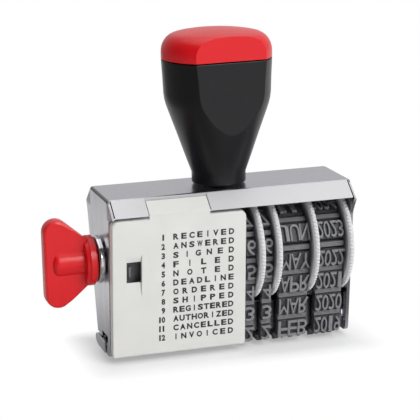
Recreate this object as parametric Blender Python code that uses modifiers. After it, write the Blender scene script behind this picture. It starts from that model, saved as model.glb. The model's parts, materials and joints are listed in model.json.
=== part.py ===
"""Rotary date stamp with a phrase band: folded frame, band drums on one axle, bridge, cover, knob and handle.

The stamp stands on its printing row. The origin is the centre of that row in the frame's middle plane:
+X runs along the row towards the year band, -Y is the front where the bands are read, +Z is up.
"""
import math

import bmesh
import bpy
from mathutils import Matrix, Vector

MM = 0.001
FIT = 0.3 * MM                  # clearance between pieces that stand or slide next to each other
RUNNING_FIT = 0.1 * MM          # radial clearance of a shaft in its bore

# Frame: one folded sheet, open at the front, the back and the bottom
FRAME_LENGTH = 60.0 * MM
FRAME_TOP = 39.6 * MM           # height of the top plate above the paper
FRAME_DEPTH = 16.0 * MM         # flat part of the top plate, front to back
FRAME_BACK_SHIFT = 1.0 * MM     # the top plate's middle lies this far behind the axle
FLANGE_OUT = 4.55 * MM
FLANGE_DROP = 3.65 * MM
SHEET = 0.8 * MM
BEND_RADIUS = 0.9 * MM
END_RADIUS = 0.6 * MM           # rounding where the top and flanges meet the end plates
PLATE_FOOT = 1.3 * MM           # height of the end plates' lower edge above the paper
PLATE_FOOT_FRONT = 5.7 * MM
PLATE_FOOT_BACK = 5.2 * MM
PLATE_SHOULDER_DROP = 7.4 * MM  # from the top plate down to where the end plates start to taper
PLATE_SHOULDER_FRONT = 9.1 * MM
PLATE_SHOULDER_BACK = 12.3 * MM
PLATE_FOOT_RADIUS = 1.6 * MM
PLATE_SHOULDER_RADIUS = 3.0 * MM

# Axle and the pieces that turn on it
AXLE_HEIGHT = 24.0 * MM
AXLE_RADIUS = 1.2 * MM
AXLE_HEAD_RADIUS = 2.3 * MM
AXLE_HEAD = 0.7 * MM
DRUM_RADIUS = 5.7 * MM
WHEEL_RADIUS = 12.9 * MM
WHEEL_THICKNESS = 1.1 * MM
WHEEL_TEETH = 88
TOOTH_DEPTH = 0.35 * MM
DRUM_SIDES = 40
HANDLE_SIDES = 64

# Rubber bands: belt, raised blocks and the type on them
BELT = 0.8 * MM
BLOCK = 1.1 * MM
TYPE_RELIEF = 0.8 * MM
BLOCK_GAP = 0.55 * MM           # between the feet of two neighbouring blocks
BAND_TO_WHEEL = 0.3 * MM
BAND_TO_NEIGHBOUR = 0.5 * MM
TYPE_MARGIN = 0.35 * MM

# Bridge that holds the type against the paper
BRIDGE_HALF_FLAT = 3.0 * MM     # half of the flat pressing face, up to its rounded edges
BRIDGE_EDGE_RADIUS = 1.0 * MM
BRIDGE_WALL = 1.0 * MM
BRIDGE_HEIGHT = 7.6 * MM
BRIDGE_EAR_HALF = 2.6 * MM

# Phrase side: drum and band behind the cover
PHRASE_LEFT_GAP = 0.4 * MM      # from the left end plate to the phrase band
PHRASE_RIGHT_GAP = 0.8 * MM     # from the phrase band to the cover's side wall
PHRASE_LETTER_PITCH = 2.9 * MM
PHRASE_LETTER_WIDTH = 2.2 * MM
SOCKET_DEPTH = 4.3 * MM
STEM_FLAT = 2.2 * MM            # half the width across the flats of the knob's six-sided stem

# Room along the axle for each date band with its thumb wheel, and the type on the bands
YEAR_ROOM = 8.7 * MM
MONTH_ROOM = 9.3 * MM
DIGIT_ROOM = 4.25 * MM
TYPE_HEIGHT = 4.0 * MM
DIGIT_HEIGHT = 3.5 * MM
DATE_BANDS = (                  # from left to right: name, room, blocks, type height, characters
    ("tens", DIGIT_ROOM, 14, DIGIT_HEIGHT, 1),
    ("units", DIGIT_ROOM, 14, DIGIT_HEIGHT, 1),
    ("month", MONTH_ROOM, 12, TYPE_HEIGHT, 3),
    ("year", YEAR_ROOM, 12, TYPE_HEIGHT, 4),
)
PHRASE_BLOCKS = 12

# Cover with its hook tab and index window
COVER_LEFT_STEP = 0.1 * MM      # from the frame's left end to the cover's left side
COVER_BOTTOM = 1.7 * MM
COVER_TOP = 35.2 * MM
COVER_WALL = 1.0 * MM
COVER_SIDE_WALL = 0.6 * MM
COVER_DEPTH = 2.2 * MM          # depth of the rim at the cover's sides and top
COVER_CORNER = 1.6 * MM
COVER_EDGE = 0.5 * MM
TAB_FROM_LEFT = 9.0 * MM        # from the cover's left side to the tab
TAB_WIDTH = 14.5 * MM
TAB_THICKNESS = 0.8 * MM
WINDOW_FROM_LEFT = 3.4 * MM     # from the cover's left side to the window
WINDOW_WIDTH = 3.7 * MM
WINDOW_TOP = 25.0 * MM
WINDOW_BOTTOM = 20.0 * MM
WINDOW_SCOOP_TOP = 26.8 * MM
WINDOW_SCOOP_BOTTOM = 16.5 * MM
WINDOW_SCOOP_DEPTH = 0.7 * MM

# Knob and its bush
KNOB_RING_GAP = 2.0 * MM        # from the left end plate to the knob's ring
KNOB_RING_RADIUS = 5.95 * MM
KNOB_RING = 2.4 * MM
KNOB_BEAD = 0.8 * MM
KNOB_REACH = 13.85 * MM         # from the left end plate to the wing's outer edge
KNOB_THICKNESS = 4.0 * MM
KNOB_FLARE = 0.874              # rise of the wing's edge for each unit outwards
KNOB_ROOT = 5.3 * MM            # half-height of the wing where it leaves the ring
KNOB_CORNER = 3.1 * MM
KNOB_EDGE = 0.7 * MM
KNOB_BOSS_RADIUS = 3.3 * MM
KNOB_BOSS = 7.5 * MM
BUSH_RADIUS = 5.7 * MM
BUSH_NECK_RADIUS = 3.7 * MM

# Handle: a turned body and cap with a flat cut at the front and back
HANDLE_X = -0.4 * MM
HANDLE_TURN = math.radians(3.5)  # the screwed-on handle stands a little turned from the frame
HANDLE_PROFILE = (               # (height above the top plate, radius)
    (0.0, 6.1), (0.4, 6.45), (2.7, 6.45), (3.4, 6.7), (6.9, 7.95), (12.7, 9.94), (17.0, 11.48), (19.0, 12.17),
    (20.3, 12.5), (21.8, 12.68), (25.6, 12.82))
SEAM_HEIGHT = 30.3 * MM         # seam between handle and cap, above the top plate
SEAM_RADIUS = 13.05 * MM
CAP_PROFILE = (                  # (height above the seam, radius)
    (1.2, 13.05), (2.2, 13.0), (3.2, 12.72), (4.0, 12.3), (4.7, 11.75), (5.25, 11.05),
    (5.6, 10.3), (5.85, 9.3), (6.15, 7.6), (6.42, 5.2), (6.6, 2.6))
CAP_HEIGHT = 6.65 * MM
CAP_WALL = 1.8 * MM
FACET_DEPTH = 9.3 * MM          # from the handle's axis to its flat cuts at the seam
FACET_DRAFT = math.radians(1.2)  # the flat cuts lean inwards towards the foot
SPIGOT = 3.2 * MM
SCREW_RADIUS = 1.7 * MM
SCREW_HEAD_RADIUS = 3.3 * MM
SCREW_HEAD = 1.6 * MM
SCREW_LENGTH = 12.0 * MM
WASHER_RADIUS = 4.4 * MM
WASHER = 0.6 * MM

# Values that follow from the ones above
HALF_LENGTH = FRAME_LENGTH / 2
PLATE_INSIDE = HALF_LENGTH - SHEET
BORE_RADIUS = AXLE_RADIUS + RUNNING_FIT
TYPE_STACK = BELT + BLOCK + TYPE_RELIEF
BELT_DRUM_RADIUS = DRUM_RADIUS + FIT
BELT_EDGE_RADIUS = BRIDGE_EDGE_RADIUS + FIT
EDGE_HEIGHT = TYPE_STACK + BELT_EDGE_RADIUS     # centre of the bridge's rounded edges
HANDLE_Y = FRAME_BACK_SHIFT
PHRASE_LEFT = -PLATE_INSIDE + PHRASE_LEFT_GAP
COVER_LEFT = -HALF_LENGTH + COVER_LEFT_STEP
TAB_LEFT = COVER_LEFT + TAB_FROM_LEFT
TAB_RIGHT = TAB_LEFT + TAB_WIDTH
WINDOW_LEFT = COVER_LEFT + WINDOW_FROM_LEFT
WINDOW_RIGHT = WINDOW_LEFT + WINDOW_WIDTH


def wheel_right(index):
    """Right face of a date band's thumb wheel: the last one runs next to the right end plate."""
    return PLATE_INSIDE - FIT - sum(room for _, room, *_ in DATE_BANDS[index + 1:])


COVER_RIGHT = wheel_right(0) - DIGIT_ROOM + BAND_TO_NEIGHBOUR - FIT
PHRASE_RIGHT = COVER_RIGHT - COVER_SIDE_WALL - PHRASE_RIGHT_GAP
PHRASE_LETTERS = int((PHRASE_RIGHT - PHRASE_LEFT) / PHRASE_LETTER_PITCH)
STEEL = ("steel", (0.78, 0.78, 0.80), 0.25, 1.0)
CHROME = ("chrome", (0.86, 0.86, 0.88), 0.08, 1.0)
WHITE_PLASTIC = ("cover_plastic", (0.76, 0.76, 0.73), 0.45, 0.0)
GREY_PLASTIC = ("wheel_plastic", (0.62, 0.62, 0.63), 0.5, 0.0)
RUBBER = ("rubber", (0.13, 0.13, 0.135), 0.75, 0.0)
RED_PLASTIC = ("red_plastic", (0.62, 0.02, 0.03), 0.35, 0.0)
BLACK_PLASTIC = ("black_plastic", (0.03, 0.03, 0.035), 0.5, 0.0)

YZ_TO_WORLD = Matrix(((0, 0, 1, 0), (1, 0, 0, 0), (0, 1, 0, 0), (0, 0, 0, 1)))  # outline (y, z), depth along X
XZ_TO_WORLD = Matrix(((1, 0, 0, 0), (0, 0, -1, 0), (0, 1, 0, 0), (0, 0, 0, 1)))  # outline (x, z), depth along -Y
AXLE_TO_WORLD = Matrix.Translation((0, 0, AXLE_HEIGHT)) @ Matrix.Rotation(math.pi / 2, 4, "Y")


# ---------------------------------------------------------------------------------------------- scene helpers

def clear_scene():
    for old in list(bpy.data.objects):
        bpy.data.objects.remove(old, do_unlink=True)


def new_collection(name):
    collection = bpy.data.collections.new(name)
    bpy.context.scene.collection.children.link(collection)
    return collection


def material(spec):
    name, colour, roughness, metallic = spec
    found = bpy.data.materials.get(name)
    if found:
        return found
    made = bpy.data.materials.new(name)
    made.use_nodes = True
    shader = made.node_tree.nodes["Principled BSDF"]
    shader.inputs["Base Color"].default_value = (*colour, 1.0)
    shader.inputs["Roughness"].default_value = roughness
    shader.inputs["Metallic"].default_value = metallic
    made.diffuse_color = (*colour, 1.0)
    return made


def add_object(name, mesh, collection):
    made = bpy.data.objects.new(name, mesh)
    collection.objects.link(made)
    return made


def mesh_from(bm, name):
    mesh = bpy.data.meshes.new(name)
    bm.to_mesh(mesh)
    bm.free()
    return mesh


def cutter(name, mesh):
    made = add_object(name, mesh, CUTTERS)
    made.hide_render = True
    made.display_type = "WIRE"
    return made


def boolean(target, other, operation):
    step = target.modifiers.new(f"{operation.lower()}_{other.name}", "BOOLEAN")
    step.operation = operation
    step.solver = "EXACT"
    step.object = other


def finish(piece, spec, axis_point=None, smooth_angle=40):
    """Give the piece its material, smooth its round faces and put its origin on its axis."""
    piece.data.materials.clear()
    piece.data.materials.append(material(spec))
    piece.data.shade_smooth()
    piece.data.set_sharp_from_angle(angle=math.radians(smooth_angle))
    if axis_point is not None:
        shift = Vector(axis_point)
        piece.data.transform(Matrix.Translation(-shift))
        piece.location = shift


# ---------------------------------------------------------------------------------------------- shape helpers

def rounded(corners, arc_steps=5):
    """Outline through (x, y, radius) corners, with each radius as an arc that touches both sides."""
    outline = []
    for index, (x, y, radius) in enumerate(corners):
        here = Vector((x, y))
        if radius == 0:
            outline.append(here)
            continue
        before = (Vector(corners[index - 1][:2]) - here).normalized()
        after = (Vector(corners[(index + 1) % len(corners)][:2]) - here).normalized()
        half_angle = math.acos(max(-1, min(1, before.dot(after)))) / 2
        centre = here + (before + after).normalized() * (radius / math.sin(half_angle))
        start = here + before * (radius / math.tan(half_angle)) - centre
        end = here + after * (radius / math.tan(half_angle)) - centre
        sweep = start.angle_signed(end)
        for step in range(arc_steps + 1):
            outline.append(centre + Matrix.Rotation(-sweep * step / arc_steps, 2) @ start)
    return outline


def sheet_mesh(name, loops, thickness):
    """A flat outline, with any holes, filled and extruded by half its thickness both ways."""
    curve = bpy.data.curves.new(name, "CURVE")
    curve.dimensions = "2D"
    curve.fill_mode = "BOTH"
    curve.extrude = thickness / 2
    for loop in loops:
        spline = curve.splines.new("POLY")
        spline.points.add(len(loop) - 1)
        for point, place in zip(spline.points, loop):
            point.co = (place[0], place[1], 0, 1)
        spline.use_cyclic_u = True
    source = bpy.data.objects.new(name, curve)
    bpy.context.scene.collection.objects.link(source)
    bpy.context.view_layer.update()
    graph = bpy.context.evaluated_depsgraph_get()
    mesh = bpy.data.meshes.new_from_object(source.evaluated_get(graph))
    bpy.data.objects.remove(source, do_unlink=True)
    bm = bmesh.new()
    bm.from_mesh(mesh)
    bmesh.ops.remove_doubles(bm, verts=bm.verts, dist=0.001 * MM)
    bmesh.ops.recalc_face_normals(bm, faces=bm.faces)
    bm.to_mesh(mesh)
    bm.free()
    return mesh


def prism_along_x(name, loops, left, right):
    """An outline in Y and Z, extruded from left to right."""
    mesh = sheet_mesh(name, loops, right - left)
    mesh.transform(Matrix.Translation(((left + right) / 2, 0, 0)) @ YZ_TO_WORLD)
    return mesh


def box_mesh(name, low, high):
    bm = bmesh.new()
    size = Vector(high) - Vector(low)
    middle = (Vector(high) + Vector(low)) / 2
    bmesh.ops.create_cube(bm, size=1, matrix=Matrix.Translation(middle) @ Matrix.Diagonal((*size, 1)))
    return mesh_from(bm, name)


def cylinder_mesh(name, radius, left, right, sides=32):
    """A solid cylinder on the axle's line."""
    bm = bmesh.new()
    place = Matrix.Translation(((left + right) / 2, 0, AXLE_HEIGHT)) @ Matrix.Rotation(math.pi / 2, 4, "Y")
    bmesh.ops.create_cone(
        bm, cap_ends=True, segments=sides, radius1=radius, radius2=radius, depth=right - left, matrix=place)
    return mesh_from(bm, name)


def turned(name, profile, collection, steps=DRUM_SIDES, place=AXLE_TO_WORLD):
    """A closed profile of (radius, height) points, turned about the axle's line or another placed axis."""
    bm = bmesh.new()
    points = [bm.verts.new((radius, 0, height)) for radius, height in profile]
    for index, point in enumerate(points):
        bm.edges.new((point, points[(index + 1) % len(points)]))
    made = add_object(name, mesh_from(bm, name), collection)
    turn_profile(made, steps)
    made.matrix_world = place
    return made


def turn_profile(piece, steps):
    screw = piece.modifiers.new("turn", "SCREW")
    screw.axis = "Z"
    screw.angle = math.tau
    screw.steps = steps
    screw.render_steps = steps
    screw.use_merge_vertices = True
    screw.merge_threshold = 0.001 * MM


def ring_profile(bore, steps):
    """Profile of a bored ring: (radius, low end, high end) steps, listed from the high end down."""
    profile = []
    for radius, low, high in steps:
        profile += [(radius, high), (radius, low)]
    return profile + [(bore, steps[-1][1]), (bore, steps[0][2])]


# ---------------------------------------------------------------------------------------------- frame

def taper_at(height, side):
    """How far the end plates reach towards the front or the back at a height."""
    foot, shoulder = (PLATE_FOOT_FRONT, PLATE_SHOULDER_FRONT) if side == "front" else (
        PLATE_FOOT_BACK, PLATE_SHOULDER_BACK)
    share = (height - PLATE_FOOT) / (FRAME_TOP - PLATE_SHOULDER_DROP - PLATE_FOOT)
    return foot + (shoulder - foot) * share


def flange_points():
    """Outer corners of the folded top, front edge first."""
    front = FRAME_BACK_SHIFT - FRAME_DEPTH / 2
    back = FRAME_BACK_SHIFT + FRAME_DEPTH / 2
    low = FRAME_TOP - FLANGE_DROP
    return (front - FLANGE_OUT, low), (front, FRAME_TOP), (back, FRAME_TOP), (back + FLANGE_OUT, low)


def build_frame():
    front_lip, front_bend, back_bend, back_lip = flange_points()
    shoulder = FRAME_TOP - PLATE_SHOULDER_DROP
    outline = rounded((
        (*front_lip, 0), (*front_bend, BEND_RADIUS), (*back_bend, BEND_RADIUS), (*back_lip, 0),
        (PLATE_SHOULDER_BACK, shoulder, PLATE_SHOULDER_RADIUS),
        (PLATE_FOOT_BACK, PLATE_FOOT, PLATE_FOOT_RADIUS), (-PLATE_FOOT_FRONT, PLATE_FOOT, PLATE_FOOT_RADIUS),
        (-PLATE_SHOULDER_FRONT, shoulder, PLATE_SHOULDER_RADIUS)))
    bm = bmesh.new()
    bm.from_mesh(prism_along_x("frame", [outline], -HALF_LENGTH, HALF_LENGTH))
    bmesh.ops.dissolve_limit(bm, angle_limit=0.001, verts=bm.verts, edges=bm.edges)
    folded_ends = [edge for edge in bm.edges if is_folded_end(edge)]
    bmesh.ops.bevel(bm, geom=folded_ends, offset=END_RADIUS, segments=2, affect="EDGES", profile=0.5)
    frame = add_object("frame", mesh_from(bm, "frame"), PARTS)

    inset = SHEET * math.tan(math.atan2(FLANGE_DROP, FLANGE_OUT) / 2)
    # The flanges end a little above the plates' corners
    lip = front_lip[1] + SHEET / 8
    lip_inset = (SHEET * math.hypot(FLANGE_OUT, FLANGE_DROP) + SHEET / 8 * FLANGE_OUT) / FLANGE_DROP
    outside = 2 * FRAME_DEPTH
    inner = [
        (front_lip[0] + lip_inset, lip), (front_bend[0] + inset, FRAME_TOP - SHEET),
        (back_bend[0] - inset, FRAME_TOP - SHEET), (back_lip[0] - lip_inset, lip),
        (outside, lip), (outside, -outside), (-outside, -outside), (-outside, lip)]
    inside = cutter("frame_inside", prism_along_x("frame_inside", [inner], -PLATE_INSIDE, PLATE_INSIDE))
    boolean(frame, inside, "DIFFERENCE")

    notch = cutter("frame_notch", box_mesh(
        "frame_notch", (TAB_LEFT - FIT, -outside, COVER_TOP - FLANGE_DROP),
        (TAB_RIGHT + FIT, front_bend[0] - FIT, FRAME_TOP + SHEET)))
    boolean(frame, notch, "DIFFERENCE")
    seat_low, seat_high = COVER_BOTTOM - COVER_DEPTH, COVER_TOP + COVER_DEPTH * math.sin(run_tilt()) + FIT
    seat_outline = [
        (cover_front(seat_low) + COVER_DEPTH + FIT, seat_low), (cover_front(seat_high) + COVER_DEPTH + FIT, seat_high),
        (-outside, seat_high), (-outside, seat_low)]
    seat = cutter("frame_cover_seat", prism_along_x(
        "frame_cover_seat", [seat_outline], -HALF_LENGTH - SHEET, -PLATE_INSIDE + SHEET))
    boolean(frame, seat, "DIFFERENCE")
    bush_hole = cutter("frame_bush_hole", cylinder_mesh(
        "frame_bush_hole", BUSH_NECK_RADIUS + FIT, -HALF_LENGTH - SHEET, -PLATE_INSIDE + SHEET))
    boolean(frame, bush_hole, "DIFFERENCE")
    axle_hole = cutter("frame_axle_hole", cylinder_mesh(
        "frame_axle_hole", BORE_RADIUS, PLATE_INSIDE - SHEET, HALF_LENGTH + SHEET))
    boolean(frame, axle_hole, "DIFFERENCE")
    ear_low = EDGE_HEIGHT - BRIDGE_EDGE_RADIUS
    slot = cutter("frame_ear_slots", box_mesh(
        "frame_ear_slots", (-FRAME_LENGTH, -BRIDGE_EAR_HALF - FIT, ear_low - FIT),
        (FRAME_LENGTH, BRIDGE_EAR_HALF + FIT, ear_low + BRIDGE_WALL + FIT)))
    boolean(frame, slot, "DIFFERENCE")
    bm = bmesh.new()
    bmesh.ops.create_cone(
        bm, cap_ends=True, segments=32, radius1=SCREW_RADIUS + FIT, radius2=SCREW_RADIUS + FIT,
        depth=6 * SHEET, matrix=Matrix.Translation((HANDLE_X, HANDLE_Y, FRAME_TOP - SHEET / 2)))
    screw_hole = cutter("frame_screw_hole", mesh_from(bm, "frame_screw_hole"))
    boolean(frame, screw_hole, "DIFFERENCE")
    finish(frame, STEEL)


def is_folded_end(edge):
    """True for the outer edges where the top and flanges meet the end plates."""
    return all(
        abs(abs(point.co.x) - HALF_LENGTH) < SHEET / 10 and point.co.z > FRAME_TOP - FLANGE_DROP - SHEET / 10
        for point in edge.verts) and abs(edge.verts[0].co.x - edge.verts[1].co.x) < SHEET


# ---------------------------------------------------------------------------------------------- bands

def run_tilt():
    """Angle between a band's straight run and the vertical."""
    across = BRIDGE_HALF_FLAT
    rise = AXLE_HEIGHT - EDGE_HEIGHT
    return math.asin((BELT_DRUM_RADIUS - BELT_EDGE_RADIUS) / math.hypot(across, rise)) - math.atan2(across, rise)


def run_length():
    across = BRIDGE_HALF_FLAT
    rise = AXLE_HEIGHT - EDGE_HEIGHT
    return math.sqrt(across ** 2 + rise ** 2 - (BELT_DRUM_RADIUS - BELT_EDGE_RADIUS) ** 2)


def loop_stretches():
    """Lengths of half a band along the belt's middle: flat, edge arc, straight run, drum arc."""
    tilt = run_tilt()
    return (
        BRIDGE_HALF_FLAT, (BELT_EDGE_RADIUS + BELT / 2) * (math.pi / 2 - tilt), run_length(),
        (BELT_DRUM_RADIUS + BELT / 2) * (math.pi / 2 + tilt))


def loop_place(along):
    """Point on the belt's inner side, and the outward normal, at a distance along the belt's middle.

    The way starts under the bridge's middle and goes round by the front.
    """
    half = sum(loop_stretches())
    along = along % (2 * half)
    mirrored = along > half
    if mirrored:
        along = 2 * half - along
    flat, edge_arc, run, _ = loop_stretches()
    turn = math.pi / 2 - run_tilt()
    edge_centre = Vector((-BRIDGE_HALF_FLAT, EDGE_HEIGHT))
    if along <= flat:
        point = Vector((-along, EDGE_HEIGHT - BELT_EDGE_RADIUS))
        normal = Vector((0, -1))
    elif along <= flat + edge_arc:
        angle = turn * (along - flat) / edge_arc
        normal = Vector((-math.sin(angle), -math.cos(angle)))
        point = edge_centre + normal * BELT_EDGE_RADIUS
    elif along <= flat + edge_arc + run:
        normal = Vector((-math.sin(turn), -math.cos(turn)))
        point = edge_centre + normal * BELT_EDGE_RADIUS
        point += Vector((-math.cos(turn), math.sin(turn))) * (along - flat - edge_arc)
    else:
        angle = turn + (along - flat - edge_arc - run) / (BELT_DRUM_RADIUS + BELT / 2)
        normal = Vector((-math.sin(angle), -math.cos(angle)))
        point = Vector((0, AXLE_HEIGHT)) + normal * BELT_DRUM_RADIUS
    if mirrored:
        point.x = -point.x
        normal.x = -normal.x
    return point, normal


def belt_inside():
    """Inner outline of every band."""
    flat, edge_arc, run, drum_arc = loop_stretches()
    stops = [0.0]
    stops += [flat + edge_arc * step / 4 for step in range(5)]
    stops += [flat + edge_arc + run + drum_arc * step / 12 for step in range(13)]
    half = [loop_place(stop)[0] for stop in stops]
    return half + [Vector((-point.x, point.y)) for point in reversed(half[1:-1])]


def block_frame(index, count):
    """Middle of a block's foot on the belt, its outward normal and its direction along the band."""
    pitch = 2 * sum(loop_stretches()) / count
    point, normal = loop_place(index * pitch)
    along = Vector((normal.y, -normal.x))
    return point + normal * BELT, normal, along, pitch


def band_outline(count):
    """Outer outline of a band: the belt with its raised blocks, which fan out where the belt bends."""
    outline = []
    for index in range(count):
        foot, normal, along, pitch = block_frame(index, count)
        half = (pitch - BLOCK_GAP) / 2
        for side in (-1, 1):
            point, outward = loop_place(index * pitch + side * half)
            corner = foot + normal * BLOCK + along * (side * half)
            steps = [point + outward * BELT, corner]
            outline += steps if side < 0 else reversed(steps)
    return outline


def build_band(name, left, right, count, type_height, letter_places, letter_width):
    band = add_object(name, prism_along_x(name, [band_outline(count), belt_inside()], left, right), PARTS)
    bm = bmesh.new()
    sunk = BLOCK / 3
    for index in range(count):
        foot, normal, along, _ = block_frame(index, count)
        middle = foot + normal * (BLOCK + (TYPE_RELIEF - sunk) / 2)
        turn = Matrix((
            (1, 0, 0, 0), (0, along.x, normal.x, 0), (0, along.y, normal.y, 0), (0, 0, 0, 1)))
        size = Matrix.Diagonal((letter_width, type_height, TYPE_RELIEF + sunk, 1))
        for place in letter_places:
            bmesh.ops.create_cube(
                bm, size=1, matrix=Matrix.Translation((place, middle.x, middle.y)) @ turn @ size)
    bmesh.ops.recalc_face_normals(bm, faces=bm.faces)
    boolean(band, cutter(f"{name}_type", mesh_from(bm, f"{name}_type")), "UNION")
    finish(band, RUBBER, smooth_angle=25)


def band_extent(index):
    """Left and right side of a date band, between its own thumb wheel and the piece to its left."""
    left = COVER_RIGHT + FIT if index == 0 else wheel_right(index - 1) + BAND_TO_NEIGHBOUR
    return left, wheel_right(index) - WHEEL_THICKNESS - BAND_TO_WHEEL


def build_date_bands():
    for index, (name, _, count, type_height, letters) in enumerate(DATE_BANDS):
        left, right = band_extent(index)
        pitch = (right - left) / letters
        places = [left + pitch * (letter + 0.5) for letter in range(letters)]
        build_band(f"{name}_band", left, right, count, type_height, places, pitch - 2 * TYPE_MARGIN)


def build_phrase_band():
    middle = (PHRASE_LEFT + PHRASE_RIGHT) / 2
    places = [middle + PHRASE_LETTER_PITCH * (letter - (PHRASE_LETTERS - 1) / 2) for letter in range(PHRASE_LETTERS)]
    build_band(
        "phrase_band", PHRASE_LEFT, PHRASE_RIGHT, PHRASE_BLOCKS, TYPE_HEIGHT, places, PHRASE_LETTER_WIDTH)


# ---------------------------------------------------------------------------------------------- turning pieces

def milled_outline():
    """Round outline with one pointed tooth for each step of the milled rim."""
    outline = []
    for step in range(2 * WHEEL_TEETH):
        radius = WHEEL_RADIUS - (step % 2) * TOOTH_DEPTH
        angle = math.pi * step / WHEEL_TEETH
        outline.append((radius * math.cos(angle), AXLE_HEIGHT + radius * math.sin(angle)))
    return outline


def build_thumb_wheels():
    for index, (name, *_) in enumerate(DATE_BANDS):
        right = wheel_right(index)
        left = wheel_right(index - 1) + FIT if index else band_extent(index)[0]
        wheel = add_object(
            f"{name}_wheel", prism_along_x(f"{name}_wheel", [milled_outline()], right - WHEEL_THICKNESS, right), PARTS)
        drum = cutter(f"{name}_drum", cylinder_mesh(
            f"{name}_drum", DRUM_RADIUS, left, right - WHEEL_THICKNESS / 2, DRUM_SIDES))
        boolean(wheel, drum, "UNION")
        bore = cutter(f"{name}_bore", cylinder_mesh(f"{name}_bore", BORE_RADIUS, left - SHEET, right + SHEET))
        boolean(wheel, bore, "DIFFERENCE")
        finish(wheel, GREY_PLASTIC, (0, 0, AXLE_HEIGHT))


def hex_mesh(name, half_flat, left, right):
    bm = bmesh.new()
    radius = half_flat / math.cos(math.pi / 6)
    place = Matrix.Translation(((left + right) / 2, 0, AXLE_HEIGHT)) @ Matrix.Rotation(math.pi / 2, 4, "Y")
    bmesh.ops.create_cone(
        bm, cap_ends=True, segments=6, radius1=radius, radius2=radius, depth=right - left, matrix=place)
    return mesh_from(bm, name)


def build_phrase_drum():
    drum = add_object(
        "phrase_drum", cylinder_mesh("phrase_drum", DRUM_RADIUS, PHRASE_LEFT, PHRASE_RIGHT, DRUM_SIDES), PARTS)
    bore = cutter("phrase_drum_bore", cylinder_mesh(
        "phrase_drum_bore", BORE_RADIUS, PHRASE_LEFT - SHEET, PHRASE_RIGHT + SHEET))
    boolean(drum, bore, "DIFFERENCE")
    socket = cutter("phrase_drum_socket", hex_mesh(
        "phrase_drum_socket", STEM_FLAT + FIT, PHRASE_LEFT - SHEET, PHRASE_LEFT + SOCKET_DEPTH))
    boolean(drum, socket, "DIFFERENCE")
    finish(drum, GREY_PLASTIC, (0, 0, AXLE_HEIGHT))


def build_axle():
    left = -HALF_LENGTH - KNOB_RING_GAP - KNOB_RING - KNOB_BOSS / 2
    head = HALF_LENGTH + FIT
    profile = [(0, head + AXLE_HEAD), (AXLE_HEAD_RADIUS - AXLE_HEAD / 3, head + AXLE_HEAD),
               (AXLE_HEAD_RADIUS, head + AXLE_HEAD * 2 / 3), (AXLE_HEAD_RADIUS, head), (AXLE_RADIUS, head),
               (AXLE_RADIUS, left), (0, left)]
    axle = open_turned("axle", profile, 32)
    finish(axle, CHROME)


def open_turned(name, profile, steps, place=AXLE_TO_WORLD, collection=None):
    """A profile that starts and ends on its axis, turned into a solid."""
    bm = bmesh.new()
    points = [bm.verts.new((radius, 0, height)) for radius, height in profile]
    for start, end in zip(points, points[1:]):
        bm.edges.new((start, end))
    made = add_object(name, mesh_from(bm, name), collection or PARTS)
    if collection == CUTTERS:
        made.hide_render = True
        made.display_type = "WIRE"
    turn_profile(made, steps)
    made.matrix_world = place
    return made


def build_knob():
    plate = -HALF_LENGTH
    ring_right = plate - KNOB_RING_GAP
    ring_left = ring_right - KNOB_RING
    wing_left = plate - KNOB_REACH
    root = ring_left + KNOB_BEAD
    tip = KNOB_ROOT + (root - wing_left) * KNOB_FLARE
    outline = rounded((
        (root, KNOB_ROOT, 0), (wing_left, tip, KNOB_CORNER), (wing_left, -tip, KNOB_CORNER),
        (root, -KNOB_ROOT, 0)), arc_steps=8)
    bm = bmesh.new()
    bm.from_mesh(sheet_mesh("knob", [outline], KNOB_THICKNESS))
    bmesh.ops.dissolve_limit(bm, angle_limit=0.001, verts=bm.verts, edges=bm.edges)
    rim = [edge for edge in bm.edges
           if abs(edge.verts[0].co.z - edge.verts[1].co.z) < KNOB_EDGE / 10
           and max(edge.verts[0].co.x, edge.verts[1].co.x) < root - KNOB_EDGE / 10]
    bmesh.ops.bevel(bm, geom=rim, offset=KNOB_EDGE, segments=2, affect="EDGES", profile=0.5)
    mesh = mesh_from(bm, "knob")
    mesh.transform(Matrix.Translation((0, 0, AXLE_HEIGHT)) @ XZ_TO_WORLD)
    knob = add_object("knob", mesh, PARTS)

    boss = cutter("knob_boss", cylinder_mesh(
        "knob_boss", KNOB_BOSS_RADIUS, ring_left - KNOB_BOSS, ring_right - KNOB_BEAD, 32))
    boss_edge = boss.modifiers.new("round_end", "BEVEL")
    boss_edge.width = 2 * KNOB_EDGE
    boss_edge.segments = 3
    boss_edge.limit_method = "ANGLE"
    boolean(knob, boss, "UNION")
    ring = turned("knob_ring", [
        (KNOB_RING_RADIUS - KNOB_EDGE / 2, ring_right), (KNOB_RING_RADIUS, ring_right - KNOB_EDGE / 2),
        (KNOB_RING_RADIUS, ring_left + KNOB_BEAD), (KNOB_RING_RADIUS - KNOB_EDGE / 2, ring_left + KNOB_BEAD),
        (KNOB_RING_RADIUS - KNOB_EDGE, ring_left), (BORE_RADIUS, ring_left), (BORE_RADIUS, ring_right)],
        CUTTERS)
    ring.hide_render = True
    ring.display_type = "WIRE"
    boolean(knob, ring, "UNION")
    stem = cutter("knob_stem", hex_mesh(
        "knob_stem", STEM_FLAT, ring_left + KNOB_BEAD, PHRASE_LEFT + SOCKET_DEPTH - FIT))
    boolean(knob, stem, "UNION")
    bore = cutter("knob_bore", cylinder_mesh(
        "knob_bore", BORE_RADIUS, ring_left - KNOB_BOSS / 2 - FIT, PHRASE_LEFT + SOCKET_DEPTH + SHEET))
    boolean(knob, bore, "DIFFERENCE")
    finish(knob, RED_PLASTIC, (0, 0, AXLE_HEIGHT))


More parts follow.
